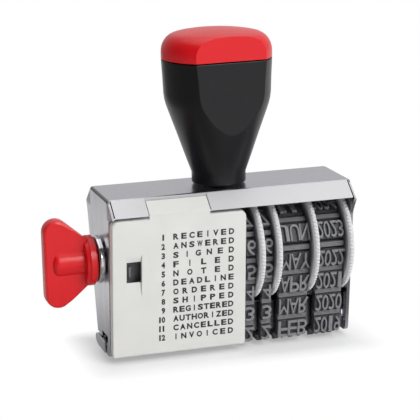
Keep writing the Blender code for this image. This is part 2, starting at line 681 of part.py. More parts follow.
def build_bush():
    inner = STEM_FLAT / math.cos(math.pi / 6) + FIT
    flange_left = -HALF_LENGTH - KNOB_RING_GAP + FIT
    flange_right = -HALF_LENGTH - FIT
    neck_right = -PLATE_INSIDE - FIT / 2
    bush = turned("knob_bush", [
        (inner, neck_right), (BUSH_NECK_RADIUS, neck_right), (BUSH_NECK_RADIUS, flange_right),
        (BUSH_RADIUS, flange_right), (BUSH_RADIUS, flange_left + FIT), (BUSH_RADIUS - FIT, flange_left),
        (inner, flange_left)], PARTS)
    finish(bush, CHROME)


# ---------------------------------------------------------------------------------------------- bridge and cover

def build_bridge():
    foot = EDGE_HEIGHT - BRIDGE_EDGE_RADIUS
    side = BRIDGE_HALF_FLAT + BRIDGE_EDGE_RADIUS
    inner = side - BRIDGE_WALL
    top = foot + BRIDGE_HEIGHT
    outline = rounded((
        (-side, top, 0), (-side, foot, BRIDGE_EDGE_RADIUS), (side, foot, BRIDGE_EDGE_RADIUS), (side, top, 0),
        (inner, top, 0), (inner, foot + BRIDGE_WALL, 0), (-inner, foot + BRIDGE_WALL, 0), (-inner, top, 0)))
    reach = PLATE_INSIDE - FIT
    bridge = add_object("bridge", prism_along_x("bridge", [outline], -reach, reach), PARTS)
    shave = FIT / 6
    ears = cutter("bridge_ears", box_mesh(
        "bridge_ears", (-HALF_LENGTH, -BRIDGE_EAR_HALF, foot + shave),
        (HALF_LENGTH, BRIDGE_EAR_HALF, foot + BRIDGE_WALL - shave)))
    boolean(bridge, ears, "UNION")
    finish(bridge, STEEL)


def cover_tilt():
    """The cover leans as the band's front run does."""
    return run_tilt()


def cover_front(height):
    """Y of the cover's front face at a height."""
    clear = BELT_DRUM_RADIUS + TYPE_STACK + FIT + COVER_WALL
    return -clear / math.cos(cover_tilt()) - (height - AXLE_HEIGHT) * math.tan(cover_tilt())


def build_cover():
    tilt = cover_tilt()
    middle_x = (COVER_LEFT + COVER_RIGHT) / 2
    middle_z = (COVER_BOTTOM + COVER_TOP) / 2
    half_width = (COVER_RIGHT - COVER_LEFT) / 2
    half_height = (COVER_TOP - COVER_BOTTOM) / 2 / math.cos(tilt)
    # The cover is drawn lying down, its front face up, and then stood up against the bands' run
    stand = (Matrix.Translation((middle_x, cover_front(middle_z), middle_z))
             @ Matrix.Rotation(tilt, 4, "X") @ XZ_TO_WORLD)
    outline = rounded([
        (x * half_width, y * half_height, COVER_CORNER) for x, y in ((-1, -1), (1, -1), (1, 1), (-1, 1))], 4)
    bm = bmesh.new()
    bm.from_mesh(sheet_mesh("cover", [outline], COVER_DEPTH))
    bmesh.ops.dissolve_limit(bm, angle_limit=0.001, verts=bm.verts, edges=bm.edges)
    front_rim = [edge for edge in bm.edges if min(edge.verts[0].co.z, edge.verts[1].co.z) > 0]
    bmesh.ops.bevel(bm, geom=front_rim, offset=COVER_EDGE, segments=3, affect="EDGES", profile=0.5)
    mesh = mesh_from(bm, "cover")
    mesh.transform(stand @ Matrix.Translation((0, 0, -COVER_DEPTH / 2)))
    cover = add_object("cover", mesh, PARTS)

    # The pocket runs out at the bottom, where the type comes close
    pocket_x = half_width - COVER_SIDE_WALL
    pocket_y = half_height - COVER_SIDE_WALL
    pocket_corner = COVER_CORNER - COVER_SIDE_WALL
    pocket_outline = rounded([
        (-pocket_x, -half_height - COVER_CORNER, 0), (pocket_x, -half_height - COVER_CORNER, 0),
        (pocket_x, pocket_y, pocket_corner), (-pocket_x, pocket_y, pocket_corner)], 4)
    pocket_mesh = sheet_mesh("cover_pocket", [pocket_outline], COVER_DEPTH)
    pocket_mesh.transform(stand @ Matrix.Translation((0, 0, -COVER_DEPTH / 2 - COVER_WALL)))
    boolean(cover, cutter("cover_pocket", pocket_mesh), "DIFFERENCE")

    tab = cutter("cover_tab", prism_along_x("cover_tab", [tab_outline()], TAB_LEFT, TAB_RIGHT))
    boolean(cover, tab, "UNION")

    past = 4 * COVER_WALL
    scoop = [
        (cover_front(WINDOW_SCOOP_TOP), WINDOW_SCOOP_TOP),
        (cover_front(WINDOW_TOP) + WINDOW_SCOOP_DEPTH, WINDOW_TOP),
        (cover_front(WINDOW_BOTTOM) + WINDOW_SCOOP_DEPTH, WINDOW_BOTTOM),
        (cover_front(WINDOW_SCOOP_BOTTOM), WINDOW_SCOOP_BOTTOM),
        (cover_front(WINDOW_SCOOP_BOTTOM) - past, WINDOW_SCOOP_BOTTOM),
        (cover_front(WINDOW_SCOOP_TOP) - past, WINDOW_SCOOP_TOP)]
    boolean(cover, cutter("cover_scoop", prism_along_x("cover_scoop", [scoop], WINDOW_LEFT, WINDOW_RIGHT)),
            "DIFFERENCE")
    window = cutter("cover_window", box_mesh(
        "cover_window", (WINDOW_LEFT, cover_front(WINDOW_TOP) - past, WINDOW_BOTTOM),
        (WINDOW_RIGHT, cover_front(WINDOW_TOP) + past, WINDOW_TOP)))
    boolean(cover, window, "DIFFERENCE")
    finish(cover, WHITE_PLASTIC, smooth_angle=30)


def tab_outline():
    """The tab runs up from the cover, turns with the front flange and ends at the top plate's bend."""
    lip, bend = (Vector(point) for point in flange_points()[:2])
    slope = (bend - lip).normalized()
    inward = Vector((slope.y, -slope.x))
    start = COVER_TOP - 2 * COVER_CORNER
    # Where the cover's front plane meets the flange's outer plane
    lean = math.tan(cover_tilt())
    rise = (cover_front(lip.y) - lip.x) / (slope.x / slope.y + lean)
    knee = Vector((cover_front(lip.y + rise), lip.y + rise))
    tip = bend - slope * (BEND_RADIUS + FIT)
    inner_tip = tip + inward * TAB_THICKNESS
    turn = math.tan((math.pi / 2 - math.atan2(slope.y, slope.x) + cover_tilt()) / 2)
    inner_knee = knee + (inward + slope * turn) * TAB_THICKNESS
    inner_start = Vector((cover_front(start) + TAB_THICKNESS / math.cos(cover_tilt()), start))
    return [Vector((cover_front(start) + COVER_EDGE / 10, start)), knee, tip, inner_tip, inner_knee, inner_start]


# ---------------------------------------------------------------------------------------------- handle

def handle_place():
    return Matrix.Translation((HANDLE_X, HANDLE_Y, 0)) @ Matrix.Rotation(HANDLE_TURN, 4, "Z")


def flats_mesh(name, half_depth, low, high):
    """Everything between the handle's two flat cuts."""
    mesh = box_mesh(name, (-2 * SEAM_RADIUS, -half_depth, low), (2 * SEAM_RADIUS, half_depth, high))
    for vertex in mesh.vertices:
        above_seam = vertex.co.z - FRAME_TOP - SEAM_HEIGHT
        vertex.co.y += math.copysign(above_seam * math.tan(FACET_DRAFT), vertex.co.y)
    mesh.transform(handle_place())
    return mesh


def build_handle():
    base = FRAME_TOP + FIT
    seam = FRAME_TOP + SEAM_HEIGHT
    top = seam + 2 * CAP_HEIGHT
    flats = cutter("handle_flats", flats_mesh("handle_flats", FACET_DEPTH, 0, top))

    body_top = seam - FIT
    profile = [(0, body_top), (SEAM_RADIUS, body_top)]
    profile += [(radius * MM, base + height * MM) for height, radius in reversed(HANDLE_PROFILE)]
    profile.append((0, base))
    body = open_turned("handle_body", profile, HANDLE_SIDES, handle_place())
    boolean(body, flats, "INTERSECT")
    spigot_flats = cutter("spigot_flats", flats_mesh("spigot_flats", FACET_DEPTH - CAP_WALL - FIT, 0, top))
    spigot = open_turned("handle_spigot", [
        (0, seam + SPIGOT), (SEAM_RADIUS - CAP_WALL - FIT, seam + SPIGOT),
        (SEAM_RADIUS - CAP_WALL - FIT, seam - 4 * FIT), (0, seam - 4 * FIT)], HANDLE_SIDES, handle_place(), CUTTERS)
    boolean(spigot, spigot_flats, "INTERSECT")
    boolean(body, spigot, "UNION")
    bore = open_turned("handle_bore", [
        (0, FRAME_TOP + SCREW_LENGTH + FIT), (SCREW_RADIUS + FIT, FRAME_TOP + SCREW_LENGTH),
        (SCREW_RADIUS + FIT, FRAME_TOP - SHEET), (0, FRAME_TOP - SHEET)], 28, handle_place(), CUTTERS)
    boolean(body, bore, "DIFFERENCE")
    finish(body, BLACK_PLASTIC, smooth_angle=24)

    profile = [(0, seam + CAP_HEIGHT)]
    profile += [(radius * MM, seam + height * MM) for height, radius in reversed(CAP_PROFILE)]
    profile += [(SEAM_RADIUS, seam), (0, seam)]
    cap = open_turned("handle_cap", profile, HANDLE_SIDES, handle_place())
    boolean(cap, flats, "INTERSECT")
    pocket_flats = cutter("pocket_flats", flats_mesh("pocket_flats", FACET_DEPTH - CAP_WALL, 0, top))
    pocket = open_turned("cap_pocket", [
        (0, seam + SPIGOT + FIT), (SEAM_RADIUS - CAP_WALL, seam + SPIGOT + FIT),
        (SEAM_RADIUS - CAP_WALL, seam - SPIGOT), (0, seam - SPIGOT)], HANDLE_SIDES, handle_place(), CUTTERS)
    boolean(pocket, pocket_flats, "INTERSECT")
    boolean(cap, pocket, "DIFFERENCE")
    finish(cap, RED_PLASTIC, smooth_angle=24)


def build_handle_screw():
    under = FRAME_TOP - SHEET
    washer_top = under - FIT
    washer_low = washer_top - WASHER
    head_top = washer_low - FIT
    place = handle_place()
    washer = turned("handle_washer", ring_profile(
        SCREW_RADIUS + FIT, [(WASHER_RADIUS, washer_low, washer_top)]), PARTS, 32, place)
    finish(washer, STEEL)
    screw = open_turned("handle_screw", [
        (0, FRAME_TOP + SCREW_LENGTH - SCREW_RADIUS), (SCREW_RADIUS, FRAME_TOP + SCREW_LENGTH - 2 * SCREW_RADIUS),
        (SCREW_RADIUS, head_top), (SCREW_HEAD_RADIUS, head_top), (SCREW_HEAD_RADIUS, head_top - SCREW_HEAD / 2),
        (SCREW_HEAD_RADIUS * 0.8, head_top - SCREW_HEAD), (0, head_top - SCREW_HEAD)], 28, place)
    finish(screw, STEEL)


clear_scene()
PARTS = new_collection("rotary_date_stamp")
CUTTERS = new_collection("cutters")
build_frame()
build_bridge()
build_axle()
build_phrase_drum()
build_phrase_band()
build_thumb_wheels()
build_date_bands()
build_bush()
build_knob()
build_cover()
build_handle()
build_handle_screw()
print("pieces:", len(PARTS.objects))
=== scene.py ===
# %% [markdown]
# # A rotary date stamp
# A hand stamp with four date bands on thumb wheels and a wide phrase band behind a white cover. The solids
# arrive packed as a fixed frame. This script dresses them: it rounds the edges that light catches, moulds the
# type on the rubber bands, mills the wheels, prints the legend, and gives every part its own finish.

# %% Load the solids
import json
import math

import bmesh
import bpy
from mathutils import Matrix, Vector


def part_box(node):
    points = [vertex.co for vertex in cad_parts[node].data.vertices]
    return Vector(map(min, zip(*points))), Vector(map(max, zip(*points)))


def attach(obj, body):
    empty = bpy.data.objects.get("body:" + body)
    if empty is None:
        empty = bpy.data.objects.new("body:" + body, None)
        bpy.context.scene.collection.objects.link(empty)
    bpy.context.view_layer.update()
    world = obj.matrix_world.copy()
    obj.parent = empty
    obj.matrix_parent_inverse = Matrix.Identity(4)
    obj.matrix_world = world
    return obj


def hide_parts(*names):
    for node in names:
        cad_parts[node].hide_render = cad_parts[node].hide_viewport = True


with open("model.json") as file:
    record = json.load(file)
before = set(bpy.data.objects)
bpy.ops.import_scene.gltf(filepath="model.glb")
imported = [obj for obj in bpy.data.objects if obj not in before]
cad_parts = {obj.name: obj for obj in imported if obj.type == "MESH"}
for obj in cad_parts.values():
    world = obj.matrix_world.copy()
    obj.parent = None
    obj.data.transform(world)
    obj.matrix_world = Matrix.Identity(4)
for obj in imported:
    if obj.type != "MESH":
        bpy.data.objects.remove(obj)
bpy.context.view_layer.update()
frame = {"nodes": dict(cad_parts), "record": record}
nodes = frame["nodes"]
MM = 0.001

# %% [markdown]
# ## Camera
# The camera stands to the left of the stamp's front and a little above it, about 40 cm away. Its place was
# solved from the folded frame's edges, so the solids fall where the photograph shows them.

# %% Stand the camera at the photograph's place
CAMERA_AZIMUTH = math.radians(-17.191)
CAMERA_ELEVATION = math.radians(13.698)
CAMERA_ROLL = math.radians(-1.128)
CAMERA_DISTANCE = 400.41 * MM
CAMERA_TARGET = Vector((-2.605, 1.35, 32.98)) * MM
CAMERA_LENS = 143.58


def linked(name, data):
    """A new object in the scene."""
    made = bpy.data.objects.new(name, data)
    bpy.context.scene.collection.objects.link(made)
    return made


def stand_camera():
    level = math.cos(CAMERA_ELEVATION)
    back = Vector((
        math.sin(CAMERA_AZIMUTH) * level, -math.cos(CAMERA_AZIMUTH) * level, math.sin(CAMERA_ELEVATION)))
    right = Vector((0, 0, 1)).cross(back).normalized()
    up = back.cross(right)
    turned_right = right * math.cos(CAMERA_ROLL) + up * math.sin(CAMERA_ROLL)
    turned_up = up * math.cos(CAMERA_ROLL) - right * math.sin(CAMERA_ROLL)
    place = Matrix((turned_right, turned_up, back)).transposed().to_4x4()
    place.translation = CAMERA_TARGET + back * CAMERA_DISTANCE
    lens = bpy.data.cameras.new("camera")
    lens.lens = CAMERA_LENS
    lens.sensor_width = 36
    lens.clip_start = 0.01
    lens.dof.use_dof = False
    camera = linked("camera", lens)
    camera.matrix_world = place
    bpy.context.scene.camera = camera
    return camera


camera = stand_camera()
print("camera at", [round(value / MM, 1) for value in camera.location], "mm")

# %% [markdown]
# ## Shader maths
# A finish reads best as an expression. `Value` wraps the output of a shader node, so that `1 - mask * 0.3`
# adds the Math nodes it needs.

# %% Wrap a socket so that maths adds nodes
class Value:
    def __init__(self, finish, socket):
        self.finish = finish
        self.socket = socket

    def maths(self, operation, first, second):
        return self.finish.node("ShaderNodeMath", {"operation": operation}, {0: first, 1: second})

    def __add__(self, other):
        return self.maths("ADD", self, other)

    def __sub__(self, other):
        return self.maths("SUBTRACT", self, other)

    def __rsub__(self, other):
        return self.maths("SUBTRACT", other, self)

    def __mul__(self, other):
        return self.maths("MULTIPLY", self, other)

    def __abs__(self):
        return self.maths("ABSOLUTE", self, 0.0)

    def over(self, low, high):
        """0 below low, 1 above high, and a straight ramp between them."""
        return self.finish.node(
            "ShaderNodeMapRange", {"clamp": True}, {"Value": self, "From Min": low, "From Max": high})

    __radd__ = __add__
    __rmul__ = __mul__


print("shader values ready")

# %% [markdown]
# `Finish` makes a material. Constants go straight onto the shader's own sockets, and only what varies over the
# surface is linked. Patterns read Object coordinates, so they stay put on a piece that has no UV map.

# %% A material that starts from constants
class Finish:
    def __init__(self, name, colour, **constants):
        self.material = bpy.data.materials.new(name)
        self.material.use_nodes = True
        self.tree = self.material.node_tree
        self.shader = self.tree.nodes["Principled BSDF"]
        self.shader.inputs["Base Color"].default_value = (*colour, 1)
        self.material.diffuse_color = (*colour, 1)
        for name, value in constants.items():
            self.shader.inputs[name.replace("_", " ").title()].default_value = value

    def node(self, kind, settings, values, output=0):
        made = self.tree.nodes.new(kind)
        for name, value in settings.items():
            setattr(made, name, value)
        for key, value in values.items():
            self.feed(made.inputs[key], value)
        return Value(self, made.outputs[output])

    def feed(self, socket, value):
        if isinstance(value, Value):
            self.tree.links.new(value.socket, socket)
        else:
            socket.default_value = value

    def noise(self, scale, detail, stretch=(1, 1, 1)):
        """Noise on Object coordinates in millimetres; a small stretch draws it out along that axis."""
        coordinates = self.node("ShaderNodeTexCoord", {}, {}, "Object")
        place = self.node("ShaderNodeMapping", {}, {
            "Vector": coordinates, "Scale": [value / MM for value in stretch]})
        return self.node("ShaderNodeTexNoise", {}, {"Vector": place, "Scale": scale, "Detail": detail})

    def mix(self, factor, first, second):
        """Mixes two colours, each a value or three numbers."""
        first, second = (
            colour if isinstance(colour, Value) else (*colour, 1) for colour in (first, second))
        # A Mix node has sockets for each kind of data, and these are its colour sockets
        return self.node("ShaderNodeMix", {"data_type": "RGBA"}, {0: factor, 6: first, 7: second}, 2)

    def parts(self):
        """Object coordinates in metres, as three values."""
        coordinates = self.node("ShaderNodeTexCoord", {}, {}, "Object")
        return [self.node("ShaderNodeSeparateXYZ", {}, {0: coordinates}, axis) for axis in range(3)]

    def attribute(self, name):
        return self.node("ShaderNodeAttribute", {"attribute_name": name}, {}, "Fac")

    def root(self, value):
        return self.node("ShaderNodeMath", {"operation": "SQRT"}, {0: value})

    def vary(self, name, value):
        self.feed(self.shader.inputs[name], value)

    def bump(self, height, depth):
        """Height from 0 to 1, depth in millimetres."""
        self.vary("Normal", self.node("ShaderNodeBump", {}, {
            "Height": height, "Distance": depth * MM, "Strength": 1.0}))


def linear(red, green, blue):
    """A colour as read from a picture, 0 to 255, made linear."""
    return tuple(
        level / 12.92 if level <= 0.04045 else ((level + 0.055) / 1.055) ** 2.4
        for level in (red / 255, green / 255, blue / 255))


print("shader helpers ready")

# %% [markdown]
# ## Finishes
# The frame is folded sheet with a satin nickel plating. Brush lines run along the top plate and up the end
# plates: each is a noise drawn out along one axis. The sloping flanges are a softer satin, painted whiter as a
# painted highlight, and the bend at each end and the seams are painted dark, as painted shade. Masks made from
# the coordinates tell these places apart, because one folded sheet is one mesh with one material.

# %% Measure the frame
FRAME_LOW, FRAME_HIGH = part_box("frame")
FRAME_HALF = FRAME_HIGH.x
FRAME_TOP = FRAME_HIGH.z
FRAME_MIDDLE = (FRAME_LOW.y + FRAME_HIGH.y) / 2
FLANGE_FROM = FRAME_HIGH.y - FRAME_MIDDLE - 4.5 * MM  # how far from the middle the flanges begin
SHEET = 0.8 * MM
SEAM = 0.24 * MM
print("frame", round(2 * FRAME_HALF / MM, 1), "mm long, top at", round(FRAME_TOP / MM, 1), "mm")

# %% Nickelled steel
def nickel_finish():
    nickel = Finish("nickelled_steel", linear(192, 192, 196), metallic=1.0, roughness=0.24)
    along = nickel.noise(6.0, 3, (0.02, 2.2, 2.2))
    upright = nickel.noise(1.5, 3, (0.3, 1.6, 0.03))
    cloud = nickel.noise(0.16, 2)
    x, y, z = nickel.parts()
    # Masks, each 1 in its own place
    slope = z.over(FRAME_TOP - 5 * MM, FRAME_TOP - 4 * MM)
    # flange: a lighter base colour and half the mirror, a painted highlight on the sloping flanges; also a
    # softer satin
    flange = abs(y - FRAME_MIDDLE).over(FLANGE_FROM, FLANGE_FROM + 0.3 * MM) * slope
    end = abs(x).over(FRAME_HALF - 0.3 * MM, FRAME_HALF - 0.2 * MM)
    above = z.over(FRAME_TOP - 0.75 * MM, FRAME_TOP - 0.6 * MM)
    # bend: painted shade, a dark band where the top plate bends down at each end
    bend = abs(x).over(FRAME_HALF - 0.62 * MM, FRAME_HALF - 0.5 * MM) * above
    wall = SEAM / 2 + 0.01 * MM
    # seam: painted shade, near black inside the cuts where the flanges' ends meet the end plates
    seam_shade = abs(abs(x) - (FRAME_HALF - SHEET)).over(wall + 0.02 * MM, wall) * flange
    # Colours, from plain sheet to the painted highlight on the flanges and the painted shade in seam and bend
    colour = nickel.mix(along, linear(182, 182, 190), linear(196, 196, 202))
    streaked = nickel.mix(upright.over(0.3, 0.7), linear(188, 188, 195), linear(212, 212, 216))
    colour = nickel.mix(end, nickel.mix(flange, colour, linear(216, 216, 219)), streaked)
    colour = nickel.mix(seam_shade, colour, linear(24, 24, 28))
    nickel.vary("Base Color", nickel.mix(bend * 0.85, colour, linear(92, 90, 98)))
    nickel.vary("Roughness", 0.15 + along * 0.1 + cloud * 0.1 + flange * 0.25)
    nickel.vary("Metallic", 1.0 - flange * 0.5)
    nickel.bump(along, 0.004)
    return nickel.material


NICKEL = nickel_finish()
print("finish:", NICKEL.name)

# %% [markdown]
# The axle and the knob's bush are polished chrome, almost a mirror, with faint smears from fingers. The screw
# and washer inside are plain zinc-plated steel with a dull, grainy surface.

# %% Polished chrome and zinc
def chrome_finish():
    chrome = Finish("polished_chrome", linear(240, 240, 243), metallic=1.0, roughness=0.06)
    smear = chrome.noise(0.5, 2)
    chrome.vary("Roughness", 0.04 + smear * 0.07)
    return chrome.material


def zinc_finish():
    zinc = Finish("zinc_steel", linear(165, 165, 163), metallic=1.0, roughness=0.35)
    grain = zinc.noise(2.5, 3)
    zinc.vary("Roughness", 0.28 + grain * 0.2)
    zinc.vary("Base Color", zinc.mix(grain, linear(150, 150, 148), linear(180, 180, 174)))
    return zinc.material


CHROME = chrome_finish()
ZINC = zinc_finish()
print("finishes:", CHROME.name, ZINC.name)

# %% [markdown]
# The cover, the wheels, the handle, the cap and the knob are injection moulded. A moulding has a faint orange
# skin and a spark-eroded grain on faces that were textured, so each gets its own bump and roughness.

# %% Moulded plastics
def moulded(name, dark, light, gloss, grain, depth):
    """Dark and light are the colour's range, gloss its roughness, grain and depth those of the skin's bump."""
    plastic = Finish(name, light, roughness=gloss)
    skin = plastic.noise(grain, 3)
    cloud = plastic.noise(0.12, 2)
    plastic.vary("Base Color", plastic.mix(cloud.over(0.3, 0.7), dark, light))
    plastic.vary("Roughness", gloss - 0.04 + skin * 0.08)
    plastic.bump(skin, depth)
    return plastic.material


COVER = moulded("cover_plastic", linear(222, 222, 218), linear(228, 228, 224), 0.45, 3.0, 0.006)
WHEEL = moulded("wheel_plastic", linear(212, 212, 214), linear(220, 220, 222), 0.5, 2.5, 0.008)
RED = moulded("red_plastic", linear(218, 8, 20), linear(225, 13, 25), 0.32, 0.9, 0.008)
BLACK = moulded("black_plastic", linear(17, 17, 20), linear(23, 23, 26), 0.3, 5.0, 0.02)
# The black plastic mirrors less, or its flat facet would look grey
BLACK.node_tree.nodes["Principled BSDF"].inputs["Specular IOR Level"].default_value = 0.4
print("finishes:", [found.name for found in (COVER, WHEEL, RED, BLACK)])

# %% [markdown]
# A date wheel's faces are painted darker towards its band, as painted shade from the bands and wheels beside
# it, while its milled rim stays light. So the moulded plastic is darker below a radius about the axle, which
# looks the same however far the wheel is turned.

# %% Date wheels
wheel_low, wheel_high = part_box("month_wheel")
AXLE_HEIGHT = (wheel_low.z + wheel_high.z) / 2
RIM_RADIUS = (wheel_high.z - wheel_low.z) / 2


def date_wheel_finish():
    wheel = Finish("date_wheel_plastic", linear(216, 216, 218), roughness=0.5)
    _, y, z = wheel.parts()
    rise = z - AXLE_HEIGHT
    radius = wheel.root(y * y + rise * rise)
    patches = wheel.noise(0.4, 3)
    # painted shade: 0 and darker towards the axle, 1 and light at the rim; the noise makes its edge ragged
    unshaded_rim = (radius + patches * 0.8 * MM).over(RIM_RADIUS - 2.6 * MM, RIM_RADIUS - 0.1 * MM)
    skin = wheel.noise(2.5, 3)
    wheel.vary("Base Color", wheel.mix(unshaded_rim, linear(112, 112, 116), linear(224, 224, 226)))
    wheel.vary("Roughness", 0.46 + skin * 0.08)
    wheel.bump(skin, 0.008)
    return wheel.material


DATE_WHEEL = date_wheel_finish()
print("finish:", DATE_WHEEL.name, "about the axle at", round(AXLE_HEIGHT / MM, 2), "mm")

# %% [markdown]
# The rubber is dark grey and dull. The band meshes carry an attribute, `proud`, which is 0 on the belt and 1 at
# the edges of the type, and the finish reads it to lighten the type: partly dust on what stands proud, partly
# painted highlight on the type's edges and painted shade on the belt and in the recesses. Paint by height alone
# would need a different rule for every turn of the band.

# %% Rubber
def rubber_finish():
    rubber = Finish("band_rubber", linear(84, 84, 88), roughness=0.6)
    proud = rubber.attribute("proud")
    dust = rubber.noise(1.6, 4)
    fine = rubber.noise(7.0, 2)
    # lighter where proud is high, as dust and painted highlight; darker where it is low, as painted shade
    light = (proud + dust * 0.3 - 0.15).over(0, 1)
    rubber.vary("Base Color", rubber.mix(light, linear(34, 34, 38), linear(166, 166, 170)))
    rubber.vary("Roughness", 0.5 + dust * 0.2)
    rubber.bump(fine * 0.5 + dust * 0.5, 0.02)
    return rubber.material


RUBBER = rubber_finish()
print("finish:", RUBBER.name)

# %% [markdown]
# The legend is printed with a pad, so its ink lies a little thicker in some places than in others. Thin ink
# lets the white moulding through and is duller.

# %% Printed ink
def ink_finish():
    ink = Finish("legend_ink", linear(44, 44, 46), roughness=0.5)
    cover = ink.noise(1.4, 4)
    ink.vary("Base Color", ink.mix(cover.over(0.3, 0.7), linear(56, 56, 58), linear(34, 34, 36)))
    ink.vary("Roughness", 0.6 - cover * 0.2)
    return ink.material


INK = ink_finish()
print("finish:", INK.name)

# %% [markdown]
# ## Dressing a solid
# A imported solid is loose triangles. A copy whose doubles are merged and whose flat faces are joined again can
# take a small bevel, so that its edges catch the light. The copy then stands for the solid, rides on its body
# and takes the finish of its material slot.

# %% Copy and merge
CAD_FINISH = {
    "frame": NICKEL, "bridge": NICKEL, "axle": CHROME, "knob_bush": CHROME, "handle_screw": ZINC,
    "handle_washer": ZINC, "cover": COVER, "handle_body": BLACK, "handle_cap": RED, "knob": RED,
    "phrase_drum": WHEEL}
BODY_OF = {node: body for body, members in frame["record"]["behaviour"]["bodies"].items() for node in members}


def cleaned(node):
    """The node's mesh with its doubles merged and its flat faces joined."""
    bm = bmesh.new()
    bm.from_mesh(nodes[node].data)
    bmesh.ops.remove_doubles(bm, verts=bm.verts, dist=0.002 * MM)
    bmesh.ops.dissolve_limit(bm, angle_limit=math.radians(0.3), verts=bm.verts, edges=bm.edges)
    return bm


def make_object(name, bm, finish=None):
    """An object from bm, which is used up."""
    mesh = bpy.data.meshes.new(name)
    bm.to_mesh(mesh)
    bm.free()
    if finish:
        mesh.materials.append(finish)
    return linked(name, mesh)


def evaluated_mesh(holder):
    """A plain mesh of what the object evaluates to."""
    bpy.context.view_layer.update()
    return bpy.data.meshes.new_from_object(holder.evaluated_get(bpy.context.evaluated_depsgraph_get()))


def stand_for(node, bm, finish, smooth=30):
    piece = make_object(node + "_finished", bm, finish)
    piece.data.shade_smooth()
    piece.data.set_sharp_from_angle(angle=math.radians(smooth))
    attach(piece, BODY_OF[node])
    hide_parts(node)
    return piece


dressed = {node: stand_for(node, cleaned(node), finish) for node, finish in CAD_FINISH.items()}
print("dressed:", len(dressed))

# %% [markdown]
# The bevel is a modifier with a least angle, so it finds the real edges and passes over the small facets of a
# round. Weighted normals keep the flat faces flat beside it.

# %% Edges
EDGES = {  # node: bevel width in mm, segments, least angle
    "frame": (0.12, 2, 40), "bridge": (0.1, 2, 40), "cover": (0.12, 2, 35), "handle_body": (0.3, 3, 20),
    "handle_cap": (0.5, 3, 24), "knob": (0.3, 3, 28), "knob_bush": (0.2, 3, 30), "axle": (0.1, 2, 30)}


def bevel(piece, width, segments, angle):
    step = piece.modifiers.new("edge", "BEVEL")
    step.width = width * MM
    step.segments = segments
    step.limit_method = "ANGLE"
    step.angle_limit = math.radians(angle)
    step.miter_outer = "MITER_ARC"
    even = piece.modifiers.new("even_shading", "WEIGHTED_NORMAL")
    even.keep_sharp = True
    even.weight = 80


print("edges to soften:", ", ".join(EDGES))

# %% [markdown]
# Three features are cut into the copies: the seams where the flanges' ends meet the end plates, the pierced
# openings for the bridge's ears, and the cross in the screw's head. A Boolean with a few boxes makes each.
# Where boxes overlap one another, it needs the exact solver with self-intersection.

# %% Cut with boxes
def box_into(bm, low, high, place=Matrix.Identity(4)):
    middle = (Vector(low) + Vector(high)) / 2
    size = Vector(high) - Vector(low)
    bmesh.ops.create_cube(bm, size=1, matrix=place @ Matrix.Translation(middle) @ Matrix.Diagonal((*size, 1)))


def carve(piece, bm):
    """Cuts the boxes in bm out of the piece."""
    tool = make_object("carving", bm)
    step = piece.modifiers.new("carve", "BOOLEAN")
    step.operation, step.solver, step.object, step.use_self = "DIFFERENCE", "EXACT", tool, True
    cut = evaluated_mesh(piece)
    cut.name = piece.name
    piece.modifiers.clear()
    piece.data = cut
    bpy.data.objects.remove(tool)


print("carving helpers ready")

# %% Seams, ear openings and cross
FLANGE_IN = 4.55 * MM
FLANGE_DROP = 3.65 * MM
SEAM_DEPTH = 0.45 * MM
EAR_OPENINGS = (  # low and high Y, low and high Z, in mm: an opening, a slot behind it, a slit below it
    (-3.9, 1.5, 4.4, 6.0), (1.0, 9.0, 4.2, 4.7), (-2.6, -1.9, 2.4, 4.6))
CROSS_HALF, CROSS_WIDTH, CROSS_DEPTH, CROSS_TURN = 1.7 * MM, 0.6 * MM, 0.9 * MM, 0.4


def seam_cuts():
    """Thin boxes that lie in the sloping flanges, one at each end of each flange."""
    bm = bmesh.new()
    for lip_y, bend_y in (
            (FRAME_LOW.y, FRAME_LOW.y + FLANGE_IN), (FRAME_HIGH.y, FRAME_HIGH.y - FLANGE_IN)):
        lip = Vector((0, lip_y, FRAME_TOP - FLANGE_DROP))
        bend = Vector((0, bend_y, FRAME_TOP))
        slope = math.atan2(bend.z - lip.z, bend.y - lip.y)
        for end in (-1, 1):
            x = end * (FRAME_HALF - SHEET)
            box_into(
                bm, (-SEAM / 2, -1 * MM, -SEAM_DEPTH), (SEAM / 2, (bend - lip).length - 0.5 * MM, SEAM_DEPTH),
                Matrix.Translation((x, lip.y, lip.z)) @ Matrix.Rotation(slope, 4, "X"))
    return bm


def ear_cuts():
    bm = bmesh.new()
    for end in (-1, 1):
        x = end * (FRAME_HALF - SHEET / 2)
        for low_y, high_y, low_z, high_z in EAR_OPENINGS:
            box_into(bm, (x - SHEET, low_y * MM, low_z * MM), (x + SHEET, high_y * MM, high_z * MM))
    return bm


def cross_cuts():
    low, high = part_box("handle_screw")
    place = Matrix.Translation(((low.x + high.x) / 2, (low.y + high.y) / 2, low.z))
    bm = bmesh.new()
    for turn in (0, math.pi / 2):
        box_into(
            bm, (-CROSS_HALF, -CROSS_WIDTH / 2, -1 * MM), (CROSS_HALF, CROSS_WIDTH / 2, CROSS_DEPTH),
            place @ Matrix.Rotation(turn + CROSS_TURN, 4, "Z"))
    return bm


carve(dressed["frame"], seam_cuts())
carve(dressed["frame"], ear_cuts())
carve(dressed["handle_screw"], cross_cuts())
print("frame:", len(dressed["frame"].data.vertices), "points after the cuts")

# %% [markdown]
# The cover's lower corners are nearly square on the real stamp and rounder on the solid. Points on the rounded
# corner are pushed out towards the square one, by a power of how far round they are. The bevels come last, so
# that they soften the cut edges and the corners too.

